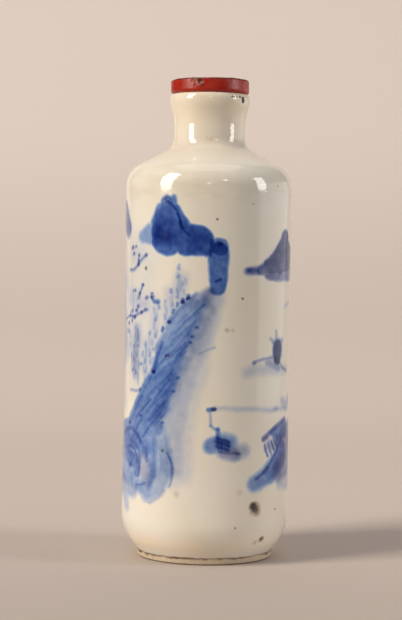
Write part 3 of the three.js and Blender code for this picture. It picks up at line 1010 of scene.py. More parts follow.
@dataclass(frozen=True)
class PorcelainFinish:
    """Cream glaze over the painting, with iron specks, stains and painted shade, down to the bare
    clay foot.
    """

    wall_radius: float
    glaze: Colour = (0.775, 0.73, 0.65)
    warm_glaze: Colour = (0.765, 0.68, 0.545)
    clay: Colour = (0.55, 0.47, 0.36)
    # Dark brown for the dirt on the foot ring, and for the painted contact shadow at its bottom
    # edge.
    dirt_and_shade_colour: Colour = (0.10, 0.055, 0.025)
    # Brown for the real stains, and also for the painted shade round the neck's base.
    stain_and_shade_tone: Colour = (0.38, 0.22, 0.09)
    amber: Colour = (0.95, 0.68, 0.39)
    iron: Colour = (0.018, 0.012, 0.007)
    rust: Colour = (0.30, 0.14, 0.05)
    glaze_edge: float = 1.18
    glaze_clouds: Mottle = Mottle(0.09, 3.0, 1.0, 0.0, 0.55)
    stain_patches: Mottle = Mottle(0.5, 4.0, 2.0, -0.2, 1.0)
    clay_grain: Mottle = Mottle(3.0, 4.0, 3.0, 0.0, 0.45)
    glaze_polish: Mottle = Mottle(0.5, 3.0, 4.0, 0.05, 0.1)
    wash_mottle: Mottle = Mottle(0.75, 4.0, 6.0, 0.8, 1.12)
    edge_wave: Mottle = Mottle(0.6, 3.0, 7.0, -0.09, 0.09)
    shoulder_stain: float = 0.12
    # How dark the painted shade round the neck's base is.
    neck_shade_strength: float = 0.13
    mouth_amber: float = 0.24
    heel_amber: tuple[float, float] = (0.16, 0.24)  # its least, and what a stained patch adds
    iron_specks: tuple[Speck, ...] = (
        Speck(34.6, 14.0, 9.85, 0.7, 0.97, 0.5),
        Speck(35.6, 14.0, 9.5, 0.66, 0.9, 0.5),
        Speck(36.9, 14.0, 9.15, 0.5, 0.7, 0.5),
        Speck(44.2, 13.43, 4.3, 0.3, 0.85, 0.3),
        Speck(21.2, 13.93, 6.5, 0.2, 0.6),
        Speck(56.0, 14.0, 9.0, 0.2, 0.7),
        Speck(-46.5, 13.85, 48.3, 0.35, 0.7),
        Speck(-30.0, 13.9, 18.8, 0.3, 0.8),
        Speck(5.8, 13.85, 56.4, 0.22, 0.7),
        Speck(24.3, 13.85, 43.7, 0.25, 0.7),
        Speck(-27.6, 13.8, 34.2, 0.2, 0.5),
        Speck(31.0, 13.9, 58.9, 0.16, 0.6),
        Speck(54.0, 13.9, 62.0, 0.2, 0.6),
        Speck(33.0, 6.6, 76.7, 0.24, 0.95, 0.1),
        Speck(36.0, 6.6, 76.66, 0.18, 0.9, 0.1),
        Speck(41.0, 6.6, 76.65, 0.17, 0.9, 0.1),
        Speck(47.5, 6.6, 76.7, 0.22, 0.95, 0.1),
        Speck(54.0, 6.65, 76.45, 0.4, 0.98, 0.12),
        Speck(55.0, 6.65, 76.1, 0.38, 0.98, 0.12),
        Speck(160.0, 13.9, 28.0, 0.35, 0.8),
        Speck(-120.0, 13.9, 12.0, 0.25, 0.7),
    )
    rust_specks: tuple[Speck, ...] = (
        Speck(36.0, 14.0, 9.5, 1.15, 0.6, 0.7),
        Speck(37.4, 14.0, 9.0, 0.8, 0.6, 0.6),
        Speck(13.5, 13.85, 38.6, 0.35, 0.45, 0.6),
        Speck(17.5, 13.85, 38.5, 0.25, 0.35, 0.5),
        Speck(44.6, 13.4, 4.2, 0.56, 0.7, 0.45),
        Speck(39.0, 13.15, 3.75, 0.4, 0.4, 0.5),
        Speck(-19.0, 14.0, 11.9, 0.5, 0.3, 0.8),
        Speck(24.0, 14.0, 12.2, 0.4, 0.25, 0.8),
        Speck(1.5, 5.95, 69.6, 0.35, 0.22, 0.5),
        Speck(-4.0, 5.95, 69.7, 0.3, 0.16, 0.5),
        Speck(140.0, 14.0, 9.0, 0.6, 0.4, 0.8),
    )

    def dress(self, effects: Effects) -> bpy.types.Material:
        """Makes the material.

        Args:
            effects: the shared node groups.

        Returns:
            The porcelain.
        """
        material = bpy.data.materials.new("porcelain")
        graph, shader, place = principled(material)
        split = graph.apart(place)
        radius = graph.vector("LENGTH", graph.together(X=split["X"], Y=split["Y"]))
        colour = self._glaze(graph, effects, place, split["Z"])
        colour = self._painting(graph, effects, place, split, radius, colour)
        colour, iron = self._specks(graph, effects, place, colour)
        colour, bare = self._foot(graph, effects, place, split["Z"], radius, colour)
        graph.feed(shader, {"Base Color": colour})
        rough = self.glaze_polish.over(graph, effects, place)
        rough = graph.math("ADD", rough, graph.math("MULTIPLY", iron, 0.5))
        rough = graph.math("MAXIMUM", rough, graph.math("MULTIPLY", bare, 0.8))
        graph.feed(shader, {"Roughness": rough})
        self._surface(graph, place, iron, bare, shader)
        return material

    def _glaze(
        self, graph: Graph, effects: Effects, place: object, height: object
    ) -> bpy.types.NodeSocket:
        """The glaze's colour: cloudy cream, amber at heel and mouth, its stains, and painted shade
        at the neck's base.
        """
        clouds = self.glaze_clouds.over(graph, effects, place)
        colour = graph.mixed(clouds, self.glaze, self.warm_glaze)
        streaky = graph.vector("MULTIPLY", place, (0.45, 0.45, 1.6))
        patches = graph.math("MAXIMUM", self.stain_patches.over(graph, effects, streaky), 0.0)
        shoulder = graph.math("MULTIPLY", graph.band(height, (58.5, 60.6), (66.5, 62.4)),
                              self.shoulder_stain)
        colour = graph.mixed(graph.math("MULTIPLY", shoulder, patches), colour, self.stain_and_shade_tone)
        # Painted shade: a darker band where the shoulder turns into the neck, in the stain's brown.
        neck_shade = graph.math("MULTIPLY", graph.band(height, (65.8, 67.8), (71.0, 68.6)),
                          self.neck_shade_strength)
        colour = graph.mixed(neck_shade, colour, self.stain_and_shade_tone)
        leftward = graph.ranged(graph.apart(place)["X"], (2.0, -8.0), (0.4, 1.0))
        least, added = self.heel_amber
        heel = graph.band(height, (1.8, 2.5), (5.6, 3.0))
        heel = graph.math("MULTIPLY", heel, graph.math("MULTIPLY_ADD", patches, added, least))
        mouth = graph.math("MULTIPLY", graph.ranged(height, (64.0, 76.0)), self.mouth_amber)
        tinted = graph.math("MAXIMUM", graph.math("MULTIPLY", heel, leftward), mouth)
        return graph.mixed(tinted, colour, self.amber)

    def _painting(
        self, graph: Graph, effects: Effects, place: object, split: object, radius: object,
        colour: object
    ) -> bpy.types.NodeSocket:
        """Lays each ink of the painting over the glaze's colour, on the outside only."""
        angle = graph.math("ARCTAN2", split["X"], graph.math("MULTIPLY", split["Y"], -1.0))
        around = graph.math("MULTIPLY", angle, self.wall_radius)
        wall = graph.together(X=around, Y=split["Z"])
        outside = graph.ranged(radius, (12.2, 12.6))
        broad = self._shaken(graph, wall, place, 0.4, 0.42)
        fine = self._shaken(graph, wall, place, 0.9, 0.16)
        mottled = self.wash_mottle.over(graph, effects, place)
        strokes = front_strokes() + back_strokes()
        LOG.info("painting: %d strokes", len(strokes))
        absorbed: object = (0.0, 0.0, 0.0)
        for ink in Ink:
            amount: object = 0.0
            for stroke in strokes:
                if stroke.ink is ink:
                    amount = self._laid(graph, effects, fine if ink.is_fine else broad, stroke,
                                        amount)
            absorbed = graph.node("ShaderNodeVectorMath",
                                  {0: ink.absorption, 1: amount, 2: absorbed},
                                  operation="MULTIPLY_ADD").outputs[0]
        absorbed = graph.scaled(absorbed, graph.math("MULTIPLY", outside, mottled))
        return graph.group(effects.fired, {"Glaze": colour, "Absorbed": absorbed}).outputs[0]

    @staticmethod
    def _shaken(
        graph: Graph, wall: object, place: object, scale: float, reach: float
    ) -> bpy.types.NodeSocket:
        """The place on the wall, pushed about so that a stroke's edge isn't quite even."""
        push = graph.vector("SUBTRACT", graph.noise(place, scale, 2.0, scale).outputs[1],
                            (0.5, 0.5, 0.5))
        return graph.vector("ADD", wall,
                            graph.vector("MULTIPLY", push, (2 * reach, 2 * reach, 0.0)))

    @staticmethod
    def _laid(
        graph: Graph, effects: Effects, point: object, stroke: Stroke, under: object
    ) -> bpy.types.NodeSocket:
        """Adds one stroke over the strokes before it."""
        along = (stroke.end[0] - stroke.start[0], stroke.end[1] - stroke.start[1], 0.0)
        inputs = {
            "Point": point, "Start": (*stroke.start, 0.0), "Along": along,
            "Start Radius": stroke.start_width / 2,
            "Widening": (stroke.end_width - stroke.start_width) / 2, "Softness": stroke.softness,
            "Ink": stroke.strength, "Under": under,
        }
        return graph.group(effects.stroke, inputs).outputs[0]

    def _specks(
        self, graph: Graph, effects: Effects, place: object, colour: object
    ) -> tuple[object, object]:
        """Lays the rust and iron specks over the colour, and gives the iron's mask back as well."""
        shaken = graph.vector("SUBTRACT", graph.noise(place, 2.2, 2.0, 9.0).outputs[1],
                              (0.5, 0.5, 0.5))
        shaken = graph.vector("ADD", place, graph.vector("MULTIPLY", shaken, (0.5, 0.5, 0.5)))
        colour = graph.mixed(specked(graph, effects, shaken, self.rust_specks), colour, self.rust)
        iron = specked(graph, effects, shaken, self.iron_specks)
        return graph.mixed(iron, colour, self.iron), iron

    def _foot(
        self, graph: Graph, effects: Effects, place: object, height: object, radius: object,
        colour: object
    ) -> tuple[object, object]:
        """Bares the clay below the glaze's edge, with dirt along that edge and under the ring, and
        a painted contact shadow round the ring's outer bottom edge.
        """
        level = graph.math("ADD", height, self.edge_wave.over(graph, effects, place))
        ring = graph.ranged(radius, (9.0, 9.3))
        edge = self.glaze_edge
        bare = graph.math("MULTIPLY", graph.ranged(level, (edge + 0.05, edge - 0.05)), ring)
        grain = self.clay_grain.over(graph, effects, place)
        colour = graph.mixed(bare, colour, graph.mixed(grain, self.clay, self.stain_and_shade_tone))
        blotches = graph.ranged(graph.noise(place, 0.55, 1.0, 8.0).outputs[0], Effects.NOISE_SPAN,
                                (0.3, 1.0))
        reach = graph.math("MULTIPLY", blotches, 0.4)
        below = graph.math("SUBTRACT", edge + 0.06, level)
        crust = graph.math("MULTIPLY", graph.ranged(below, (-0.06, 0.04)),
                           graph.ranged(graph.math("SUBTRACT", below, reach), (0.24, -0.1)))
        crust = graph.math("MULTIPLY", crust, graph.math("MULTIPLY_ADD", blotches, 0.6, 0.35))
        # The ring's bottom: dirt on its underside, and a darker painted contact shadow where its
        # outer side meets the floor.
        under = graph.math("MULTIPLY", graph.ranged(height, (0.3, 0.1)),
                           graph.ranged(radius, (10.9, 11.1), (0.35, 0.85)))
        dirt_and_shade_mask = graph.math("MULTIPLY", graph.math("MAXIMUM", crust, under), ring)
        return graph.mixed(dirt_and_shade_mask, colour, self.dirt_and_shade_colour), bare

    @staticmethod
    def _surface(
        graph: Graph, place: object, iron: object, bare: object, shader: bpy.types.Node
    ) -> None:
        """A faint ripple in the glaze, pits where iron broke through it, and grit on the clay."""
        ripple = graph.noise(place, 0.35, 2.0, 12.0).outputs[0]
        grit = graph.math("MULTIPLY", graph.noise(place, 4.0, 3.0, 13.0).outputs[0],
                          graph.math("MULTIPLY", bare, 0.5))
        pits = graph.math("MULTIPLY", iron, -0.5)
        relief = graph.math("ADD", graph.math("ADD", ripple, grit), pits)
        bump = graph.node("ShaderNodeBump",
                          {"Height": relief, "Distance": 0.1 * MM, "Strength": 0.35})
        graph.feed(shader, {"Normal": bump.outputs[0], "IOR": 1.5})


@dataclass(frozen=True)
class RedGlassFinish:
    """Opaque coral-red glass, polished by hand, with frosted chips that carry a painted highlight
    and painted shade, and dirt along its rim.
    """

    red: Colour = (0.33, 0.012, 0.004)
    streak: Colour = (0.42, 0.035, 0.014)
    # Near black for the dirt along the rim, and for the painted shade in the chip.
    dirt_and_shade_colour: Colour = (0.035, 0.010, 0.006)
    frost_and_highlight: Colour = (0.62, 0.36, 0.26)
    streaks: Mottle = Mottle(0.45, 3.0, 21.0, 0.0, 0.6)
    polish: Mottle = Mottle(1.2, 4.0, 22.0, 0.24, 0.44)
    grime: Mottle = Mottle(1.1, 3.0, 24.0, 0.3, 1.0)
    top_tilt: float = 0.0105
    top_drop: float = -0.07
    # Dark spots: painted shade on the right side of the chip near the front, and a little dirt.
    chip_shade_and_dirt_specks: tuple[Speck, ...] = (
        Speck(-15.5, 6.5, 79.1, 0.44, 0.8, 0.45), Speck(-13.0, 6.5, 78.6, 0.36, 0.75, 0.4),
        Speck(-17.5, 6.5, 79.5, 0.2, 0.7, 0.25), Speck(-24.0, 6.5, 78.5, 0.16, 0.6, 0.25),
        Speck(46.0, 6.5, 79.9, 0.25, 0.5, 0.3),
    )
    # Pale spots: frosting on the chip near the front, with a painted highlight on its left side and
    # small painted glints.
    frost_and_highlight_specks: tuple[Speck, ...] = (
        Speck(-25.5, 6.5, 79.0, 0.4, 0.3, 0.4), Speck(-20.5, 6.5, 79.0, 0.34, 0.36, 0.4),
        Speck(-19.0, 6.5, 78.85, 0.14, 0.9, 0.1), Speck(-21.5, 6.5, 79.3, 0.12, 0.9, 0.1),
    )

    def dress(self, effects: Effects) -> bpy.types.Material:
        """Makes the material.

        Args:
            effects: the shared node groups.

        Returns:
            The red glass.
        """
        material = bpy.data.materials.new("red_glass")
        graph, shader, place = principled(material)
        streaks = self.streaks.over(graph, effects,
                                    graph.vector("MULTIPLY", place, (1.0, 1.0, 2.2)))
        colour = graph.mixed(streaks, self.red, self.streak)
        colour = graph.mixed(self._rim_dirt(graph, effects, place), colour, self.dirt_and_shade_colour)
        # The chip's pale frosting with its painted highlight, then its painted shade and dirt.
        frost_and_highlight_mask = specked(graph, effects, place, self.frost_and_highlight_specks)
        colour = graph.mixed(frost_and_highlight_mask, colour, self.frost_and_highlight)
        chipped = graph.math("MAXIMUM", 0.0, frost_and_highlight_mask)
        dirt_and_shade_mask = specked(graph, effects, place, self.chip_shade_and_dirt_specks)
        colour = graph.mixed(dirt_and_shade_mask, colour, self.dirt_and_shade_colour)
        chipped = graph.math("MAXIMUM", chipped, dirt_and_shade_mask)
        rough = self.polish.over(graph, effects, place)
        rough = graph.math("MAXIMUM", rough, graph.math("MULTIPLY", chipped, 0.6))
        upright = graph.vector("MULTIPLY", place, (1.0, 1.0, 0.25))
        scratches = graph.noise(upright, 2.2, 4.0, 23.0).outputs[0]
        bump = graph.node("ShaderNodeBump",
                          {"Height": scratches, "Distance": 0.1 * MM, "Strength": 0.4})
        graph.feed(shader, {"Base Color": colour, "Roughness": rough, "Normal": bump.outputs[0],
                            "IOR": 1.5, "Specular IOR Level": 0.36})
        return material

    def _rim_dirt(self, graph: Graph, effects: Effects, place: object) -> bpy.types.NodeSocket:
        """Dirt along the rim of the top face, which slopes a little."""
        grime = self.grime.over(graph, effects, place)
        split = graph.apart(place)
        slope = graph.math("MULTIPLY_ADD", split["X"], self.top_tilt, self.top_drop)
        edge = graph.ranged(graph.math("SUBTRACT", split["Z"], slope), (79.4, 79.65))
        radius = graph.vector("LENGTH", graph.together(X=split["X"], Y=split["Y"]))
        edge = graph.math("MULTIPLY", edge, graph.ranged(radius, (5.6, 6.2)))
        return graph.math("MULTIPLY", edge, grime)


@dataclass(frozen=True)
class CorkFinish:
    """Dry cork with dark pores."""

    bark: Colour = (0.38, 0.20, 0.08)
    pale: Colour = (0.52, 0.32, 0.15)
    pore: Colour = (0.09, 0.04, 0.015)
    bark_tone: Mottle = Mottle(0.9, 5.0, 31.0)

    def dress(self, effects: Effects) -> bpy.types.Material:
        """Makes the material.

        Args:
            effects: the shared node groups.

        Returns:
            The cork.
        """
        material = bpy.data.materials.new("cork")
        graph, shader, place = principled(material)
        tone = self.bark_tone.over(graph, effects, place)
        long_pores = graph.vector("MULTIPLY", place, (1.0, 1.0, 0.45))
        pores = graph.ranged(graph.noise(long_pores, 2.4, 3.0, 32.0).outputs[0], (0.60, 0.68))
        colour = graph.mixed(pores, graph.mixed(tone, self.bark, self.pale), self.pore)
        relief = graph.math("SUBTRACT", tone, pores)
        bump = graph.node("ShaderNodeBump",
                          {"Height": relief, "Distance": 0.2 * MM, "Strength": 0.6})
        graph.feed(shader, {"Base Color": colour, "Roughness": 0.9, "Normal": bump.outputs[0]})
        return material


# --------------------------------------------------------------------------------------------------
# Pieces
# --------------------------------------------------------------------------------------------------


def arc(centre: Place, radius: float, start: float, end: float, steps: int) -> list[Place]:
    """Points of a profile along an arc, with its angles in degrees from the outward direction."""
    return curve(centre, radius, start, end, steps)


def run(start: Place, end: Place, steps: int) -> list[Place]:
    """Points of a profile along a straight stretch, without its ends."""
    return [between(start, end, i / steps) for i in range(1, steps)]


class Lathe:
    """Turns profiles about +Z with geometry nodes, and gives plain closed meshes back."""

    MERGE_GAP = 0.0005 * MM
    WAVE_HEIGHT = 20 * MM  # the height over which the unevenness changes as it does over one radius
    FADE_HEIGHT = 6 * MM  # how soon it fades out towards a steady end

    def __init__(self) -> None:
        """Builds the node tree that every turned piece shares."""
        self.tree = bpy.data.node_groups.new("Turned piece", "GeometryNodeTree")
        self.tree.is_modifier = True
        face = self.tree.interface
        face.new_socket("Geometry", in_out="OUTPUT", socket_type="NodeSocketGeometry")
        kinds = {"Geometry": "Geometry", "Segments": "Int", "Unevenness": "Float",
                 "Wave Scale": "Float",
                 "Steady Below": "Float", "Steady Above": "Float", "Seed": "Float",
                 "Finish": "Material"}
        for name, kind in kinds.items():
            face.new_socket(name, in_out="INPUT", socket_type=f"NodeSocket{kind}")
        self._build(Graph(self.tree))

    def _build(self, graph: Graph) -> None:
        """The tree: a grid whose columns go round the axis and whose rows follow the profile."""
        given = graph.node("NodeGroupInput").outputs
        size = graph.node("GeometryNodeAttributeDomainSize", {0: given["Geometry"]},
                          component="MESH")
        rows = size.outputs["Point Count"]
        columns = graph.math("ADD", given["Segments"], 1)
        grid = graph.node("GeometryNodeMeshGrid",
                          {"Vertices X": columns, "Vertices Y": rows}).outputs[0]
        index = graph.node("GeometryNodeInputIndex").outputs[0]
        column = graph.math("FLOOR", graph.math("DIVIDE", index, rows))
        row = graph.math("SUBTRACT", index, graph.math("MULTIPLY", column, rows))
        position = graph.node("GeometryNodeInputPosition").outputs[0]
        inputs = {"Geometry": given["Geometry"], "Value": position, "Index": row}
        profile = graph.node("GeometryNodeSampleIndex", inputs, data_type="FLOAT_VECTOR",
                             domain="POINT")
        point = graph.apart(profile.outputs[0])
        turn = graph.math("MULTIPLY", graph.math("DIVIDE", column, given["Segments"]), math.tau)
        around = graph.together(X=graph.math("COSINE", turn), Y=graph.math("SINE", turn))
        radius = graph.math("MULTIPLY", point["X"],
                            self._unevenness(graph, given, around, point["Z"]))
        level = graph.together(Z=point["Z"])
        place = graph.vector("ADD", graph.scaled(around, radius), level)
        skin = graph.node("GeometryNodeSetPosition",
                          {"Geometry": grid, "Position": place}).outputs[0]
        skin = graph.node("GeometryNodeMergeByDistance",
                          {"Geometry": skin, "Distance": self.MERGE_GAP}).outputs[0]
        skin = graph.node("GeometryNodeSetShadeSmooth", {"Geometry": skin}).outputs[0]
        skin = graph.node("GeometryNodeRealizeInstances", {"Geometry": skin}).outputs[0]
        skin = graph.node("GeometryNodeSetMaterial",
                          {"Geometry": skin, "Material": given["Finish"]}).outputs[0]
        graph.node("NodeGroupOutput", {0: skin})

    @staticmethod
    def _unevenness(
        graph: Graph, given: object, around: object, height: object
    ) -> bpy.types.NodeSocket:
        """How much wider or narrower than true the piece is there, as a share of its radius."""
        level = graph.together(Z=graph.math("DIVIDE", height, Lathe.WAVE_HEIGHT))
        wave = graph.noise(graph.vector("ADD", around, level), given["Wave Scale"], 1.0,
                           given["Seed"]).outputs[0]
        wave = graph.math("MULTIPLY", graph.math("SUBTRACT", wave, 0.5), 2.0)
        risen = graph.math("SUBTRACT", height, given["Steady Below"])
        fade_in = graph.math("DIVIDE", risen, Lathe.FADE_HEIGHT, clamp=True)
        left = graph.math("SUBTRACT", given["Steady Above"], height)
        fade_out = graph.math("DIVIDE", left, Lathe.FADE_HEIGHT, clamp=True)
        size = graph.math("MULTIPLY", given["Unevenness"],
                          graph.math("MULTIPLY", fade_in, fade_out))
        return graph.math("MULTIPLY_ADD", wave, size, 1.0)

    def turn(
        self, name: str, profile: Sequence[Place], finish: bpy.types.Material,
        settings: Mapping[str, float]
    ) -> bpy.types.Object:
        """Turns one piece.

        Args:
            name: the piece's name.
            profile: its radii and heights in millimetres, from the axis below to the axis above.
            finish: its material.
            settings: values for the tree's other inputs, by name.

        Returns:
            The piece as a plain mesh object at the origin.
        """
        mesh = bpy.data.meshes.new(name + "_profile")
        points = [(radius * MM, 0.0, height * MM) for radius, height in profile]
        mesh.from_pydata(points, [(i, i + 1) for i in range(len(points) - 1)], [])
        blank = bpy.data.objects.new(name + "_blank", mesh)
        bpy.context.scene.collection.objects.link(blank)
        modifier = blank.modifiers.new("Lathe", "NODES")
        modifier.node_group = self.tree
        sockets = {item.name: item.identifier for item in self.tree.interface.items_tree
                   if item.in_out == "INPUT"}
        modifier[sockets["Finish"]] = finish
        for key, value in settings.items():
            modifier[sockets[key]] = value
        graph = bpy.context.evaluated_depsgraph_get()
        turned = bpy.data.meshes.new_from_object(blank.evaluated_get(graph), depsgraph=graph)
        blank.modifiers.remove(modifier)
        bpy.data.objects.remove(blank)
        bpy.data.meshes.remove(mesh)
        turned.name = name
        piece = bpy.data.objects.new(name, turned)
        bpy.context.scene.collection.objects.link(piece)
        return piece


def stands_for(piece: bpy.types.Object, node: str) -> None:
    """Puts a finished piece in the place of its node.

    Args:
        piece: the piece.
        node: the node that it replaces.
    """
    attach(piece, BODY)
    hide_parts(node)
    LOG.info("%s: %d faces, for %s", piece.name, len(piece.data.polygons), node)


@dataclass(frozen=True)
class Bottle:
    """The porcelain bottle: foot ring, heel, waisted body, shoulder, neck and lip, hollow."""

    heel_radius: float
    lip_height: float
    foot_height: float = 1.15
    heel_top: float = 7.3
    waist_height: float = 34.0
    shoulder_start: float = 61.8
    neck_top: float = 72.0
    foot_radius: float = 11.3
    waist_radius: float = 13.8
    shoulder_radius: float = 13.9
    neck_radius: float = 5.95
    lip_radius: float = 6.68
    heel_curve: float = 8.0
    heel_angle: float = 34.2
    shoulder_curve: float = 4.3
    shoulder_angle: float = 62.0
    neck_fillet: float = 2.4
    lip_flare: float = 9.0
    lip_flare_angle: float = 19.0
    lip_round: float = 0.95
    lip_edge: float = 0.5
    ring_inner_radius: float = 9.5
    ring_bevel: float = 0.2
    recess_depth: float = 0.9
    glaze_step: float = 0.06
    bore_radius: float = 3.3
    mouth_round: float = 0.6
    wall: float = 2.3
    floor_height: float = 3.4
    inner_neck_fillet: float = 4.0
    inner_heel_curve: float = 5.0
    segments: int = 240
    unevenness: float = 0.006

    @classmethod
    def from_frame(cls) -> Bottle:
        """The bottle at the size of its node."""
        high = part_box("bottle")[1]
        return cls(heel_radius=high.x / MM, lip_height=high.z / MM)

    def build(self, lathe: Lathe, effects: Effects) -> bpy.types.Object:
        """Turns and dresses the bottle.

        Args:
            lathe: turns the profile.
            effects: the shared node groups.

        Returns:
            The bottle.
        """
        finish = PorcelainFinish(self.shoulder_radius).dress(effects)
        settings = {"Segments": self.segments, "Unevenness": self.unevenness, "Wave Scale": 0.9,
                    "Seed": 3.0,
                    "Steady Below": self.foot_height * MM, "Steady Above": self.lip_height * MM}
        profile = self._foot() + self._body() + self._neck() + self._inside()
        piece = lathe.turn("porcelain_bottle", profile, finish, settings)
        stands_for(piece, "bottle")
        return piece

    def _foot(self) -> list[Place]:
        """The recessed base, then the foot ring up to the glaze's edge."""
        inner, bevel = self.ring_inner_radius, self.ring_bevel
        base = (inner - self.recess_depth / 2, self.recess_depth)
        return [
            (0.0, self.recess_depth),
            *run((0.0, self.recess_depth), base, 8),
            base,
            (inner, bevel),
            *arc((inner + bevel, bevel), bevel, 200, 270, 3),
            *arc((self.foot_radius - 2 * bevel, 2 * bevel), 2 * bevel, -90, -8, 6),
            (self.foot_radius, self.foot_height - 0.05),
            (self.foot_radius, self.foot_height),
        ]

    def _body(self) -> list[Place]:
        """The heel's curve, the body with its slight waist, and the round of the shoulder."""
        heel = arc((self.heel_radius - self.heel_curve, self.heel_top), self.heel_curve,
                   -self.heel_angle, 0, 14)
        start, end, waist = self.heel_top, self.shoulder_start, self.waist_height
        body, rows = [], 48
        for i in range(1, rows):
            height = start + (end - start) * i / rows
            if height < waist:
                side, reach = self.heel_radius, waist - start
            else:
                side, reach = self.shoulder_radius, end - waist
            ease = (1 - math.cos(math.pi * abs(height - waist) / reach)) / 2
            body.append((self.waist_radius + (side - self.waist_radius) * ease, height))
        shoulder = arc((self.shoulder_radius - self.shoulder_curve, end), self.shoulder_curve, 0,
                       self.shoulder_angle, 16)
        edge = (self.foot_radius + self.glaze_step, self.foot_height + self.glaze_step)
        return [edge, *run(edge, heel[0], 3), *heel, *body, *shoulder]

    def _fillet_height(self, slope: Place, neck_radius: float, fillet: float) -> float:
        """The height of a neck fillet's centre, which makes it tangent to the slope at a point."""
        turn = math.radians(self.shoulder_angle)
        rise = (slope[0] - neck_radius - fillet * (1 - math.cos(turn))) / math.tan(turn)
        return slope[1] + rise + fillet * math.sin(turn)

    def _neck(self) -> list[Place]:
        """The neck, from the end of the shoulder's slope to the flat top of the rolled lip."""
        slope = self._body()[-1]
        start = self._fillet_height(slope, self.neck_radius, self.neck_fillet)
        centre = (self.neck_radius + self.neck_fillet, start)
        fillet = arc(centre, self.neck_fillet, 180 + self.shoulder_angle, 180, 12)
        turn = self.lip_flare_angle
        flare = arc((self.neck_radius + self.lip_flare, self.neck_top), self.lip_flare, 180,
                    180 - turn, 8)
        roll = (self.lip_radius - flare[-1][0]) / (1 - math.cos(math.radians(turn)))
        roll_height = flare[-1][1] + roll * math.sin(math.radians(turn))
        lip = arc((self.lip_radius - roll, roll_height), roll, -turn, 0, 6)
        rim_centre = (self.lip_radius - self.lip_edge, self.lip_height - self.lip_round)
        quarter = arc((0.0, 0.0), 1.0, 0, 90, 10)
        rim = [(rim_centre[0] + self.lip_edge * x, rim_centre[1] + self.lip_round * z)
               for x, z in quarter]
        return [*run(slope, fillet[0], 8), *fillet, *run(fillet[-1], flare[0], 6), *flare, *lip[1:],
                *rim]

    def _inside(self) -> list[Place]:
        """From the mouth down the bore, out into the cavity and in to the middle of its floor."""
        shoulder_centre = (self.shoulder_radius - self.shoulder_curve, self.shoulder_start)
        shoulder = arc(shoulder_centre, self.shoulder_curve - self.wall, self.shoulder_angle, 0, 8)
        fillet_height = self._fillet_height(shoulder[0], self.bore_radius, self.inner_neck_fillet)
        mouth = arc((self.bore_radius + self.mouth_round, self.lip_height - self.mouth_round),
                    self.mouth_round, 90, 180, 6)
        fillet = arc((self.bore_radius + self.inner_neck_fillet, fillet_height),
                     self.inner_neck_fillet, 180, 180 + self.shoulder_angle, 8)
        corner = (self.shoulder_radius - self.wall - self.inner_heel_curve,
                  self.floor_height + self.inner_heel_curve)
        heel = arc(corner, self.inner_heel_curve, 0, -90, 8)
        return [*mouth, *run(mouth[-1], fillet[0], 5), *fillet, *run(fillet[-1], shoulder[0], 4),
                *shoulder,
                *run(shoulder[-1], heel[0], 16), *heel, *run(heel[-1], (0.0, self.floor_height), 4),
                (0.0, self.floor_height)]


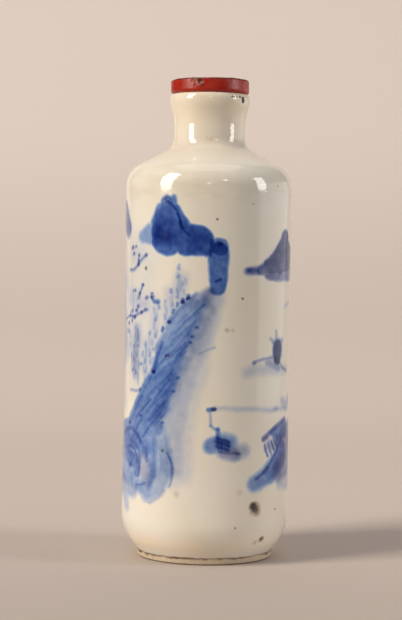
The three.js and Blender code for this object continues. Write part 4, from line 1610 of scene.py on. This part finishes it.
@dataclass(frozen=True)
class StopperCap:
    """The flat glass disc on the lip, ground by hand so that its edge wavers, with small chips.

    A chip is given by its angle from the front, its height, its reach and its depth.
    """

    bottom: float
    top: float
    radius: float = 6.6
    dome: float = 0.15
    top_round: float = 0.4
    bottom_round: float = 0.6
    waver: float = 0.07
    tilt: float = 0.6
    lean: float = 0.012
    worn_rim: float = 0.3
    chips: tuple[tuple[float, float, float, float], ...] = (
        (-25.0, 79.15, 0.6, 0.1), (-19.5, 78.95, 0.7, 0.16), (-14.5, 79.0, 0.6, 0.13),
        (28.0, 79.7, 0.5, 0.1),
        (-52.0, 79.6, 0.45, 0.08),
    )
    segments: int = 360

    @classmethod
    def from_frame(cls) -> StopperCap:
        """The disc at the size of its node."""
        low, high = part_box("stopper_cap")
        return cls(bottom=low.z / MM, top=high.z / MM)

    def build(self, lathe: Lathe, effects: Effects) -> bpy.types.Object:
        """Turns the disc, grinds its edge, chips it and dresses it.

        Args:
            lathe: turns the profile.
            effects: the shared node groups.

        Returns:
            The disc.
        """
        settings = {"Segments": self.segments, "Unevenness": 0.0, "Wave Scale": 1.0, "Seed": 1.0,
                    "Steady Below": 0.0, "Steady Above": 1.0}
        piece = lathe.turn("stopper_disc", self._profile(), RedGlassFinish().dress(effects),
                           settings)
        self._grind(piece.data)
        stands_for(piece, "stopper_cap")
        return piece

    def _profile(self) -> list[Place]:
        """The flat underside, the rounded edges and the low dome."""
        rim_top = self.top - self.dome
        under, over = self.radius - self.bottom_round, self.radius - self.top_round
        return [
            (0.0, self.bottom),
            *run((0.0, self.bottom), (under, self.bottom), 8),
            *arc((under, self.bottom + self.bottom_round), self.bottom_round, -90, 0, 10),
            *run((self.radius, self.bottom + self.bottom_round),
                 (self.radius, rim_top - self.top_round), 12),
            *arc((over, rim_top - self.top_round), self.top_round, 0, 90, 10),
            *[(over * (1 - i / 10), self.top - self.dome * (1 - i / 10) ** 2)
              for i in range(1, 10)],
            (0.0, self.top),
        ]

    def _grind(self, mesh: bpy.types.Mesh) -> None:
        """Moves points in by a wave around the edge, slopes the top, and takes out the chips."""
        places = np.empty(len(mesh.vertices) * 3, np.float64)
        mesh.vertices.foreach_get("co", places)
        places = places.reshape(-1, 3) / MM
        angle = np.arctan2(places[:, 1], places[:, 0])
        radius = np.hypot(places[:, 0], places[:, 1])
        height = (places[:, 2] - self.bottom) / (self.top - self.bottom)
        wave = (np.cos(3 * angle) + np.cos(7 * angle + 1) / 2) / 1.5
        scale = 1 - self.waver * (1 + wave) / 2 / self.radius
        scale -= self.lean * np.clip(np.cos(angle), 0, 1) * np.clip(height, 0, 1)
        rim = np.clip((radius - self.radius * (1 - self.worn_rim)) / (self.radius * self.worn_rim),
                      0, 1)
        above = np.clip(height * 2 - 1, 0, 1)
        ragged = 1 + np.cos(5 * angle + 2) / 2
        ragged += np.cos(11 * angle + 0.5) / 3 + np.cos(23 * angle) / 4
        slope = (self.radius - places[:, 0]) * math.tan(math.radians(self.tilt))
        places[:, 2] -= above * (rim * self.waver * ragged + slope)
        places[:, :2] *= scale[:, None]
        for turn, level, reach, depth in self.chips:
            turn = math.radians(turn)
            centre = np.array([self.radius * math.sin(turn), -self.radius * math.cos(turn), level])
            gap = np.linalg.norm((places - centre) / (1.0, 1.0, 0.8), axis=1) / reach
            bite = depth * np.clip(1 - gap**2, 0, 1)
            places[:, 0] -= bite * np.cos(angle)
            places[:, 1] -= bite * np.sin(angle)
        mesh.vertices.foreach_set("co", (places * MM).reshape(-1))
        mesh.update()


@dataclass(frozen=True)
class StopperCork:
    """The cork under the disc, tapered down into the neck."""

    top: float
    bottom: float
    top_radius: float
    bottom_radius: float = 2.6
    bevel: float = 0.4
    segments: int = 96

    @classmethod
    def from_frame(cls) -> StopperCork:
        """The cork at the size of its node."""
        low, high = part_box("stopper_cork")
        return cls(top=high.z / MM, bottom=low.z / MM, top_radius=high.x / MM)

    def build(self, lathe: Lathe, effects: Effects) -> bpy.types.Object:
        """Turns and dresses the cork.

        Args:
            lathe: turns the profile.
            effects: the shared node groups.

        Returns:
            The cork.
        """
        settings = {"Segments": self.segments, "Unevenness": 0.03, "Wave Scale": 3.0, "Seed": 8.0,
                    "Steady Below": self.bottom * MM, "Steady Above": self.top * MM}
        piece = lathe.turn("stopper_plug", self._profile(), CorkFinish().dress(effects), settings)
        stands_for(piece, "stopper_cork")
        return piece

    def _profile(self) -> list[Place]:
        """The flat bottom, its bevel, the tapered side and the flat top."""
        foot = (self.bottom_radius - self.bevel, self.bottom)
        side = (self.bottom_radius, self.bottom + self.bevel)
        rim = (self.top_radius, self.top)
        return [(0.0, self.bottom), *run((0.0, self.bottom), foot, 4), foot, side,
                *run(side, rim, 24), rim,
                *run(rim, (0.0, self.top), 4), (0.0, self.top)]


# --------------------------------------------------------------------------------------------------
# The studio
# --------------------------------------------------------------------------------------------------


@dataclass(frozen=True)
class Softbox:
    """A rectangular lamp facing the bottle, by its bearing from the camera's side, in degrees."""

    name: str
    bearing: float
    elevation: float
    distance: float
    width: float
    height: float
    power: float
    colour: Colour

    def place(self, target: Vector) -> None:
        """Hangs the lamp and turns it to a point.

        Args:
            target: what it lights, in metres.
        """
        light = bpy.data.lights.new(self.name, "AREA")
        light.shape = "RECTANGLE"
        light.size = self.width
        light.size_y = self.height
        light.energy = self.power
        light.color = self.colour
        lamp = bpy.data.objects.new(self.name, light)
        turn, rise = math.radians(self.bearing), math.radians(self.elevation)
        away = Vector((math.sin(turn) * math.cos(rise), -math.cos(turn) * math.cos(rise),
                       math.sin(rise)))
        lamp.location = target + away * self.distance
        lamp.rotation_euler = (-away).to_track_quat("-Z", "Y").to_euler()
        bpy.context.scene.collection.objects.link(lamp)


@dataclass(frozen=True)
class Studio:
    """A pale paper sweep, two softboxes, a card, two small lamps, a ceiling panel, the camera."""

    eye_height: float = 53.4
    distance: float = 305.0
    lens: float = 105.33
    sensor_width: float = 36.0
    aim: tuple[float, float, float] = (-1.05, 0.0, 41.25)
    roll: float = 0.8
    sweep_start: float = 150.0
    sweep_curve: float = 320.0
    sweep_width: float = 600.0
    sweep_height: float = 700.0
    sweep_front: float = -160.0
    # The paper's colours, graded from its front edge to the top of the backdrop, paint in the fall
    # of the light.
    paper_edge: Colour = (0.36, 0.305, 0.275)
    paper_front: Colour = (0.508, 0.435, 0.39)
    paper_back: Colour = (0.62, 0.534, 0.487)
    paper_rise: Colour = (0.58, 0.501, 0.459)
    paper_high: Colour = (0.652, 0.57, 0.527)
    front_fade: Place = (-140.0, -60.0)
    back_fade: Place = (-60.0, 90.0)
    rise_fade: Place = (4.0, 30.0)
    high_fade: Place = (25.0, 100.0)
    lamp_target: float = 40.0
    clip: tuple[float, float] = (0.01, 10.0)
    lamps: tuple[Softbox, ...] = (
        Softbox("key_softbox", -61.4, 25.8, 1.5, 0.48, 1.25, 26.7, (1.0, 0.925, 0.825)),
        Softbox("side_softbox", 77.6, 17.7, 1.5, 0.40, 0.80, 9.8, (0.95, 0.93, 0.90)),
        Softbox("side_card", 107.0, 3.0, 0.6, 0.78, 0.25, 0.6, (1.0, 0.96, 0.92)),
        Softbox("front_lamp", 0.5, 12.0, 1.5, 0.08, 0.2, 0.36, (1.0, 0.96, 0.9)),
        Softbox("second_lamp", 24.0, 26.0, 1.5, 0.08, 0.12, 0.42, (1.0, 0.96, 0.9)),
        Softbox("ceiling_panel", 0.0, 90.0, 1.2, 1.0, 1.0, 3.6, (0.97, 0.97, 0.95)),
    )
    room: Colour = (0.10, 0.105, 0.11)
    room_strength: float = 0.6

    def build(self) -> None:
        """Puts up the sweep, the lamps, the room's own light and the camera."""
        self._sweep()
        middle = Vector((0.0, 0.0, self.lamp_target * MM))
        for lamp in self.lamps:
            lamp.place(middle)
        world = bpy.data.worlds.new("room")
        world.use_nodes = True
        background = world.node_tree.nodes["Background"]
        background.inputs["Color"].default_value = (*self.room, 1.0)
        background.inputs["Strength"].default_value = self.room_strength
        bpy.context.scene.world = world
        bpy.context.scene.view_settings.view_transform = "Standard"
        self._camera()

    def _sweep(self) -> None:
        """The floor, curved up into the backdrop behind the bottle."""
        curve_centre = (self.sweep_start, self.sweep_curve)
        line = [(self.sweep_front, 0.0), *arc(curve_centre, self.sweep_curve, -90, 0, 24)]
        line.append((self.sweep_start + self.sweep_curve, self.sweep_height))
        mesh = bpy.data.meshes.new("paper_sweep")
        half = self.sweep_width / 2
        points = [(side * MM, y * MM, z * MM) for y, z in line for side in (-half, half)]
        faces = [(2 * i, 2 * i + 1, 2 * i + 3, 2 * i + 2) for i in range(len(line) - 1)]
        mesh.from_pydata(points, [], faces)
        mesh.shade_smooth()
        sweep = bpy.data.objects.new("paper_sweep", mesh)
        mesh.materials.append(self._paper())
        bpy.context.scene.collection.objects.link(sweep)

    def _paper(self) -> bpy.types.Material:
        """Matt paper with painted light and shade: darker at the front edge, paler towards the back
        and up the backdrop.
        """
        material = bpy.data.materials.new("paper")
        graph, shader, place = principled(material)
        split = graph.apart(place)
        colour = graph.mixed(graph.ranged(split["Y"], self.front_fade), self.paper_edge,
                             self.paper_front)
        colour = graph.mixed(graph.ranged(split["Y"], self.back_fade), colour, self.paper_back)
        colour = graph.mixed(graph.ranged(split["Z"], self.rise_fade), colour, self.paper_rise)
        colour = graph.mixed(graph.ranged(split["Z"], self.high_fade), colour, self.paper_high)
        graph.feed(shader, {"Base Color": colour, "Roughness": 0.9, "Specular IOR Level": 0.1})
        return material

    def _camera(self) -> None:
        """The camera, a little below the shoulder, rolled so that the bottle leans in the view."""
        camera = bpy.data.cameras.new("camera")
        camera.lens = self.lens
        camera.sensor_width = self.sensor_width
        camera.clip_start, camera.clip_end = self.clip
        eye = Vector((0.0, -self.distance, self.eye_height)) * MM
        view = bpy.data.objects.new("camera", camera)
        look = (Vector(self.aim) * MM - eye).to_track_quat("-Z", "Y").to_matrix().to_4x4()
        roll = Matrix.Rotation(math.radians(self.roll), 4, "Z")
        view.matrix_world = Matrix.Translation(eye) @ look @ roll
        bpy.context.scene.collection.objects.link(view)
        bpy.context.scene.camera = view


def main() -> None:
    """Builds the studio and every piece around the frame."""
    logging.basicConfig(level=logging.INFO, format="%(name)s: %(message)s")
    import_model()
    Studio().build()
    lathe = Lathe()
    effects = Effects()
    for part in (Bottle.from_frame(), StopperCap.from_frame(), StopperCork.from_frame()):
        part.build(lathe, effects)


if __name__ == "__main__":
    main()
